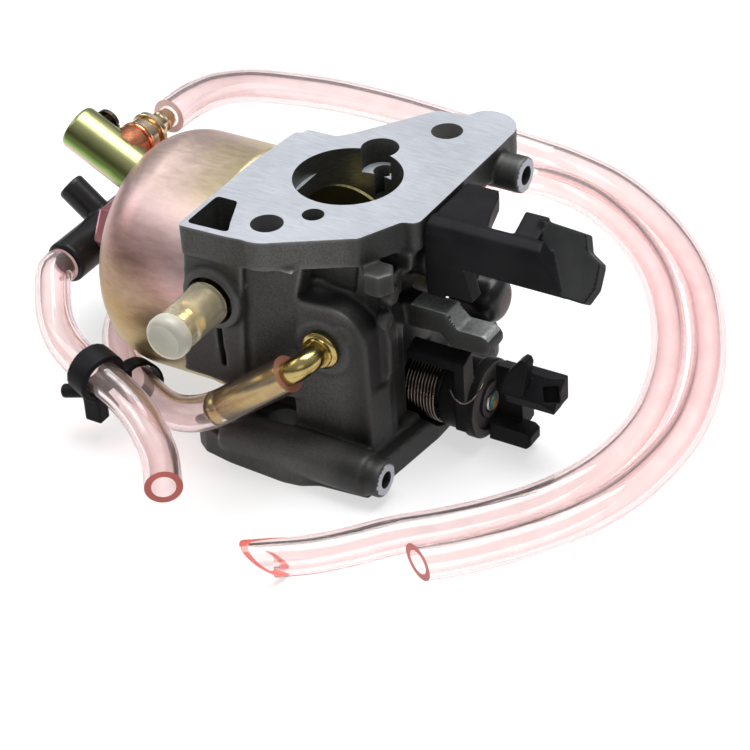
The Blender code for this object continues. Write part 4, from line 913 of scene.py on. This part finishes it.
def casting_finish(face):
    """0 as cast, 1 milled bright, 2 bored, or in the pocket where the bored finish is painted light on the walls, 3
    painted light on the upward faces of the arm.
    """
    x, y, z = face.calc_center_median()
    radius = math.hypot(x, y)
    top_face = face.normal.z > 0.9 and z > HEIGHT - 0.1
    foot_face = face.normal.z < -0.9 and z < 0.1
    low_ledge = face.normal.z > 0.9 and z > HEIGHT - 6.0 and radius < 17.0 and (x < -9.0 or y > 8.0)
    if top_face or foot_face or low_ledge:
        return 1
    if radius < INTAKE_R + 0.2:
        return 2
    # Painted light: the cast pocket's walls take the lighter bored finish for the light on them.
    in_pocket = -19.4 < x < -8.5 and -28.8 < y < -17.0 and HEIGHT - 8.5 < z < HEIGHT - 0.1
    if in_pocket and face.normal.z < 0.5:
        return 2
    post_end = face.normal.x > 0.95 and x > 22.0 and (y > 18.0 or y < -22.0)
    bowl_seat = face.normal.x < -0.95 and abs(x - DECK_X + 0.6) < 0.2
    if post_end or bowl_seat:
        return 1
    # Painted light: the arm's upward faces take the lighter copy of the cast finish.
    arm_top = face.normal.z > 0.6 and x > 18.0 and 26.0 < z < 34.0 and -9.0 < y < -1.5
    return 3 if arm_top else 0


# ---- bowl, drain and vent

def bowl_outline(grow):
    """Half section of the bowl from the centre of its end to its rim: (radius, depth from the rim)."""
    depth = BOWL_RIM_X - BOWL_END_X
    centre = (BOWL_R - BOWL_CORNER, depth - BOWL_CORNER)
    return arc(centre, BOWL_CORNER + grow, 90, 0, 20) + [(BOWL_R + grow, 0.0)]


def float_bowl():
    """Drawn can with a slightly rolled rim."""
    outer = bowl_outline(0.0)
    inner = bowl_outline(-BOWL_WALL)
    hole = BOLT_R + GAP
    rim = [(BOWL_R, 2.2), (BOWL_R + 0.25, 1.6), (BOWL_R + 0.3, 0.5), (BOWL_R, 0.0)]
    profile = [(hole, outer[0][1])] + outer[:-1] + rim + list(reversed(inner)) + [(hole, inner[0][1])]
    bowl = ring(profile, (BOWL_RIM_X, 0, BOWL_Z), (-1, 0, 0), 160)
    drain = rod(2.6, TURRET_FOOT * 1.5 - TURRET_END * 0.5, TURRET_END, 32)
    overflow = rod(2.3, (-45.0, 11.0, TEE.z), (-56.0, 11.0, TEE.z), 32)
    piece("bowl_skin", cut(bowl, drain, overflow), "zinc", ["float_bowl"])


def bowl_bolt():
    shank = rod(BOLT_R, (-38.5, 0, BOWL_Z), (-54.0, 0, BOWL_Z), 40, 0.5)
    flange = rod(7.0, (-53.0, 0, BOWL_Z), (-54.0, 0, BOWL_Z), 64)
    head = lathe([(6.93, 0.0), (6.93, 7.2), (6.2, 8.0)], (-53.0, 0, BOWL_Z), (-1, 0, 0), 6)
    dish = lathe([(3.6, 0.0), (4.2, 1.2)], (-60.4, 0, BOWL_Z), (-1, 0, 0), 40)
    bolt = cut(union(head, flange, shank), dish)
    piece("bowl_bolt_skin", bolt, "pink", ["bowl_bolt"], bevel=0.3)


def drain_screw_point():
    return TURRET_FOOT.lerp(TURRET_END, 0.78)


def drain_turret():
    direction = (TURRET_END - TURRET_FOOT).normalized()
    inside = TURRET_FOOT - direction * 4.0
    length = (TURRET_END - inside).length
    side = [(TURRET_R, 0.0), (TURRET_R, length - 1.0), (TURRET_R - 0.13, length - 0.5)]
    side += [(TURRET_R - 0.4, length - 0.15), (TURRET_R - 0.9, length)]
    turret = lathe(side, inside, direction, 72)
    turret = union(turret, rod(4.3, (BARB.x, 0.0, BARB.z), (BARB.x, 5.4, BARB.z), 56, 0.3))
    clearance = bowl_outline(GAP)
    bowl = lathe([(0.0, clearance[0][1])] + clearance, (BOWL_RIM_X, 0, BOWL_Z), (-1, 0, 0), 96)
    passage = rod(1.6, inside - direction, TURRET_END - direction * 2.5, 24)
    port = rod(2.1, (BARB.x, 0.0, BARB.z), (BARB.x, 6.0, BARB.z), 32)
    screw_at = drain_screw_point()
    thread = rod(2.2, screw_at, screw_at + Vector((0, 8, 0)), 32)
    turret = cut(turret, bowl, passage, port, thread)
    for face in turret.faces:
        at = face.calc_center_median()
        out = (at - TURRET_FOOT).cross(direction).length
        face.material_index = int(at.y > 1.5 and out > TURRET_R + 0.05)
    piece("turret_skin", turret, "green copper", ["drain_turret"], angle=28)


def drain_barb():
    washer = [(2.2, 0.15), (2.35, 0.0), (4.15, 0.0), (4.3, 0.2), (4.3, 0.8), (4.15, 1.0), (2.35, 1.0), (2.2, 0.85)]
    seal = ring(washer, (BARB.x, 5.7, BARB.z), (0, 1, 0), 64)
    piece("drain_washer_skin", seal, "copper", ["drain_washer"], angle=60)
    outline = [(0.9, 0.0), (1.8, 0.0), (1.8, 5.4), (3.75, 5.4), (3.9, 5.6), (3.9, 7.4), (3.75, 7.6), (3.1, 7.9)]
    outline += [(3.1, 8.6), (4.15, 8.6), (4.3, 8.8), (4.3, 9.7), (4.1, 9.95), (2.2, 10.1), (2.2, 11.2)]
    outline += [(2.42, 11.5), (2.1, 12.9), (2.1, 13.2), (2.42, 13.5), (2.0, 16.2), (0.9, 16.2)]
    barb = ring(outline, (BARB.x, 1.6, BARB.z), (0, 1, 0), 64)
    piece("drain_barb_skin", barb, "pale_brass", ["drain_barb"], angle=28)


def vent_tee():
    junction = Vector((TEE.x, 6.0, TEE.z))
    stub_end = Vector((-76.0, 6.0, 28.9))
    sleeve = rod(TEE_R, (TEE.x, 15.5, TEE.z), (TEE.x, TEE_MOUTH_Y, TEE.z), 48, 0.5)
    lip = rod(TEE_R - 0.05, (TEE.x, TEE_MOUTH_Y + 2.0, TEE.z), (TEE.x, TEE_MOUTH_Y + 0.05, TEE.z), 48, 0.4)
    stub = rod(3.2, junction, stub_end, 40, 0.4)
    socket = rod(3.6, (TEE.x, 11.0, TEE.z), (-57.5, 11.0, TEE.z), 40, 0.4)
    bore = rod(2.7, (TEE.x, 13.5, TEE.z), (TEE.x, TEE_MOUTH_Y - 1, TEE.z), 32)
    stub_bore = rod(1.5, junction, stub_end + (stub_end - junction) * 0.1, 24)
    pipe_bore = rod(2.3, (-65.0, 11.0, TEE.z), (-56.0, 11.0, TEE.z), 32)
    tee = machined(cast(union(sleeve, lip, stub, socket), 0.3, 4), bore, stub_bore, pipe_bore)
    piece("tee_skin", tee, "tee", ["vent_tee"], angle=50)


def hose_clip():
    """Clip that holds the vent hose beside the fuel hose."""
    upper = Vector((-41.4, -34.6, 15.2))
    lower = Vector((-40.7, -22.5, 5.45))
    upper_way = (Vector(VENT_ROUTE[7]) - Vector(VENT_ROUTE[5])).normalized()
    lower_way = (Vector(FUEL_ROUTE[5]) - Vector(FUEL_ROUTE[3])).normalized()
    across = (lower - upper).normalized()
    rings = [rod(5.5, upper - upper_way * 2.6, upper + upper_way * 2.6, 48),
             rod(4.9, lower - lower_way * 2.4, lower + lower_way * 2.4, 48),
             rod(2.0, upper + across * 4.6, lower - across * 4.4, 24),
             rod(1.5, upper + Vector((-2.0, -1.0, -4.4)), upper + Vector((-7.6, -2.0, -5.6)), 24, 0.3),
             box((-43.6, -37.4, 4.6), (-39.6, -34.2, 10.6))]
    holes = [rod(HOSE_R + 0.5, upper - upper_way * 6, upper + upper_way * 6, 48),
             rod(HOSE_R + 0.55, lower - lower_way * 6, lower + lower_way * 6, 48)]
    clip = machined(cast(union(*rings), 0.26, 4), *holes)
    piece("clip_skin", clip, "black", ["hose_clip"], angle=50)


# ---- front fittings

def fuel_inlet_elbow():
    """Brass elbow pressed into the casting; its barbed tail reaches down inside the hose."""
    route = [INLET + Vector((0, 5, 0)), INLET + Vector((0, -3.4, 0))]
    bend_in = KNEE + Vector((0, 3.4, 0))
    bend_out = KNEE + PIPE_WAY * 3.4
    for k in range(17):
        t = k / 16.0
        route.append(bend_in * (1 - t) ** 2 + KNEE * (2 * t * (1 - t)) + bend_out * t ** 2)
    route.append(PIPE_END)
    pipe = swept(route, (2.45,), 48)
    rim = [(3.7, 0.0), (3.95, 0.2), (4.0, 0.4), (4.0, 1.0), (3.8, 1.2), (3.2, 1.4), (3.2, 2.0), (3.05, 2.2)]
    collar = lathe(rim, INLET + Vector((0, -0.6, 0)), (0, -1, 0), 64)
    profile = [(2.45, 0.0), (2.45, 1.2), (2.62, 1.6), (2.62, 19.4), (2.5, 19.8), (2.5, 20.6), (2.64, 21.0)]
    profile += [(2.64, 22.6), (2.2, 23.6), (1.6, 24.0)]
    tail = lathe(profile, PIPE_END - PIPE_WAY, PIPE_WAY, 48)
    bore = swept([route[0] + Vector((0, 1, 0))] + route[1:-1] + [PIPE_END + PIPE_WAY * 30.0], (1.4,), 24)
    elbow = cut(union(pipe, collar, tail), bore)
    piece("elbow_skin", elbow, "elbow_brass", ["fuel_inlet_elbow"], angle=30)


def vent_nipple():
    """Brass nipple under a blind milky cap whose front end is a thicker, paler ring."""
    outline = [(1.2, 0.0), (2.4, 0.0), (2.4, 6.4), (3.3, 6.4), (3.5, 6.6)]
    outline += [(3.5, 16.2), (3.2, 16.6), (2.3, 17.2), (2.3, 20.4), (1.2, 20.4)]
    nipple = ring(outline, NIPPLE + Vector((0, 7.4, 0)), (0, -1, 0), 56)
    piece("nipple_skin", nipple, "brass", ["vent_nipple"], angle=30)
    foot = NIPPLE + Vector((0, -2.6, 0))
    outline = [(3.8, 0.0), (4.45, 0.0), (4.6, 0.2), (4.6, 1.2), (4.4, 1.6), (4.4, 11.8), (4.6, 12.3), (4.6, 13.7)]
    outline += [(4.4, 14.3), (4.0, 14.8), (3.4, 15.0), (3.0, 14.7), (0.0, 14.6)]
    cap = lathe(outline, foot, (0, -1, 0), 64)
    hollow = lathe([(3.8, -1.0), (3.8, 8.2), (2.6, 8.8), (2.6, 13.4)], foot, (0, -1, 0), 48)
    cap = cut(cap, hollow)
    for face in cap.faces:
        face.material_index = int(face.calc_center_median().y < foot.y - 11.8)
    piece("cap_skin", cap, "cap cap_end", ["nipple_cap"], angle=40)


def vacuum_port():
    outline = [(0.9, 0.0), (1.8, 0.0), (1.8, 9.0), (2.3, 9.6), (1.8, 12.4), (0.9, 12.4)]
    nipple = ring(outline, VACUUM_PORT, (1, 0, 0), 40)
    piece("vacuum_nipple_skin", nipple, "brass", ["vacuum_nipple"], angle=30)
    foot = VACUUM_PORT + Vector((9.8, 0, 0))
    profile = [(4.6, 0.0), (5.1, 0.15), (5.3, 0.6), (5.3, 1.5), (5.0, 1.9), (5.0, 7.2)]
    profile += arc((5.0 - 3.0, 7.2), 3.0, 0, 90, 8)[1:] + [(0.0, 10.2)]
    cap = lathe(profile, foot, (1, 0, 0), 56)
    hollow = rod(2.7, foot - Vector((0.8, 0, 0)), foot + Vector((4.7, 0, 0)), 40)
    piece("vacuum_cap_skin", cut(cap, hollow), "rubber", ["vacuum_cap"], angle=50)


# ---- levers

def keyed_hole(centre_z, low_x, high_x):
    hole = rod(SHAFT_R + GAP, (low_x, 0, centre_z), (high_x, 0, centre_z), 40)
    flat = centre_z + KEY_HEIGHT + GAP
    return cut(hole, box((low_x - 1, -4.0, flat), (high_x + 1, 4.0, centre_z + 4)))


def choke_lever():
    side = [(LEVER_X, 39.0), (24.4, 37.6), (31.8, 37.6), (29.8, 44.6), (51.6, 44.3), (45.3, 53.9)]
    side += [(LEVER_X, 53.9)]
    section = [(-8.3, 37.0), (-4.3, 37.0), (-4.3, 53.3), (-5.6, 53.4), (-7.4, 52.6), (-8.3, 50.8)]
    arm = intersection(prism(side, -8.6, -4.0, "Y"), prism(section, LEVER_X, 52.0, "X"))
    shelf = [(LEVER_X, -5.0), (33.6, -5.0), (31.4, 1.2), (29.9, 6.8), (28.8, 9.0), (LEVER_X, 9.0)]
    top = prism(shelf, 49.4, 52.9)
    hub = rod(5.4, (LEVER_X, 0, CHOKE_Z), (27.4, 0, CHOKE_Z), 48, 0.4)
    web = box((LEVER_X, -8.2, 36.8), (25.7, 2.0, 50.0))
    hook = prism([(-4.6, 49.0), (-4.2, 53.1), (0.8, 55.4), (1.8, 52.0), (0.4, 49.0)], 38.8, 44.0, "X")
    solid = cast(union(arm, top, hub, web, hook, paddle()), 0.25, 9)
    lever = machined(solid, keyed_hole(CHOKE_Z, 20.0, 26.9))
    # Painted light: the paddle's front face takes the lighter nylon copy.
    for face in lever.faces:
        at = face.calc_center_median()
        depth = (at - PADDLE_FOOT).dot(PADDLE_FRONT)
        face.material_index = int(face.normal.dot(PADDLE_FRONT) > 0.9 and abs(depth) < 0.4 and at.x > 44.0)
    piece("choke_lever_skin", lever, "black rubbed", ["choke_lever"], "choke", angle=50)


def paddle():
    """Finger tab at the end of the choke lever, leaning back from the front."""
    up = Vector((0.0, math.sin(PADDLE_LEAN), math.cos(PADDLE_LEAN)))
    shape = [(42.8, 13.4), (43.0, 9.2), (46.4, 5.8), (51.0, 0.2), (55.6, 0.0)]
    shape += [(57.0, 3.3), (56.7, 8.0), (53.6, 9.7), (52.4, 12.8)]
    front = [PADDLE_FOOT + up * v + Vector((x, 0, 0)) for x, v in shape]
    return loft(front, [p - PADDLE_FRONT * 4.0 for p in front])


def throttle_lever():
    rim = [(7.0, 0.0), (7.6, 0.6), (7.6, 5.8), (8.4, 6.2), (8.4, 8.3), (8.0, 8.7)]
    hub = lathe(rim, (22.3, 0, THROTTLE_Z), (1, 0, 0), 64)
    finger = [(-8.3, 6.0), (-8.3, 22.1), (-4.6, 23.7), (-4.2, 17.0), (4.0, 13.6), (5.6, THROTTLE_Z)]
    block = [(-8.25, 20.2), (-8.25, 22.0), (-4.65, 23.6), (-4.4, 20.2)]
    solid = union(hub, prism(finger, 27.0, 29.4, "X"), prism(block, 16.4, 28.0, "X"))
    groove = ring([(3.9, 0.0), (6.4, 0.0), (6.4, 2.0), (3.9, 2.0)], (30.2, 0, THROTTLE_Z), (1, 0, 0), 64)
    lever = machined(cast(cut(solid, groove), 0.22, 3), keyed_hole(THROTTLE_Z, 21.0, 32.5))
    # Painted light: the hub's end face takes the lighter nylon copy.
    for face in lever.faces:
        face.material_index = int(face.normal.x > 0.8 and face.calc_center_median().x > 28.5)
    piece("throttle_lever_skin", lever, "black worn", ["throttle_lever"], "throttle", angle=50)


def throttle_fork():
    """Coupling dogs that a throttle motor turns: two bars on a bridge, with a slanted tab."""
    bridge = prism([(1.2, 2.6), (6.2, 3.6), (6.6, 10.0), (5.4, 16.0), (1.2, 17.4)], 31.4, 37.2, "X")
    section = [(0.2, 18.8), (3.0, 18.4), (3.2, 13.0), (-3.0, 12.6), (-3.8, 14.8)]
    upper = prism(section, 35.8, 46.6, "X")
    end_face = axis_matrix((45.2, -1.7, 16.3), (0.41, -0.64, 0.65))
    point = box((-8.0, -8.0, 0.0), (8.0, 8.0, 8.0))
    bmesh.ops.transform(point, matrix=end_face, verts=point.verts[:])
    socket = box((-1.5, -1.6, -2.4), (1.5, 1.6, 1.0))
    bmesh.ops.transform(socket, matrix=end_face, verts=socket.verts[:])
    outline = [(31.4, 1.4), (39.6, 1.2), (40.6, 2.2), (40.6, 4.4), (39.6, 5.2), (31.4, 5.4)]
    lower = prism(outline, -2.2, 2.4, "Y")
    slab = [(34.6, 14.6), (35.6, 18.8), (38.9, 23.2), (39.8, 24.0), (40.7, 23.8), (41.1, 22.8), (40.0, 15.2)]
    tab = prism(slab, -3.7, -0.9, "Y")
    fork = cast(union(cut(upper, point, socket), bridge, lower, tab), 0.2, 3)
    piece("fork_skin", fork, "black", ["throttle_fork"], "throttle", angle=40)


def throttle_return_spring():
    coil = helix((14.2, 0, THROTTLE_Z), (22.0, 0, THROTTLE_Z), 7.15, 0.32, 10.0, 40)
    spring = swept(coil, (0.31,), 10)
    piece("spring_skin", spring, "spring", ["throttle_return_spring"], angle=60)
    hook = [(26.4, -8.7, 16.0), (27.6, -9.2, 14.6), (29.4, -9.3, 14.0), (31.0, -8.4, 14.7), (31.5, -6.4, 15.6)]
    hook.append((31.4, -4.4, 16.2))
    wire = swept(smooth_route(hook, 0.4), (0.2,), 10)
    piece("spring_hook", wire, "spring", (), "throttle", angle=60)


def paint_daub():
    """Dab of inspection paint on the end of the throttle shaft."""
    start = (31.45, 0.0, THROTTLE_Z - 0.2)
    daub = lathe([(1.9, 0.0), (2.0, 0.12), (1.5, 0.34), (0.7, 0.48), (0.0, 0.5)], start, (1, 0, 0), 40)
    piece("paint_daub", daub, "paint", (), "throttle", angle=60)


# ---- CAD nodes that keep their shape

PLAIN_LOOKS = {
    "brass": ("main_jet", "emulsion_tube", "pilot_jet", "needle_seat", "pilot_screw", "overflow_pipe"),
    "dull_brass": ("choke_shaft", "choke_plate", "choke_screw_1", "choke_screw_2", "throttle_plate",
                   "throttle_screw_1", "throttle_screw_2"),
    "steel": ("throttle_shaft", "float_pin", "inlet_needle", "pilot_screw_spring"),
    "copper": ("bowl_bolt_washer",),
    "spring": ("drain_screw",),
    "rubber": ("bowl_gasket", "choke_shaft_seal"),
    "float": ("float",),
}


def dress_nodes():
    for look, names in PLAIN_LOOKS.items():
        for name in names:
            mesh = frame["nodes"][name].data
            mesh.materials.clear()
            mesh.materials.append(LOOKS[look])
            mesh.shade_smooth()
            mesh.set_sharp_from_angle(angle=math.radians(32))


camera()
LOOKS = make_materials()
hoses()
studio()
carburetor_body()
for build in (float_bowl, bowl_bolt, drain_turret, drain_barb, vent_tee, hose_clip, fuel_inlet_elbow, vent_nipple,
              vacuum_port, choke_lever, throttle_lever, throttle_fork, throttle_return_spring, paint_daub):
    build()
dress_nodes()
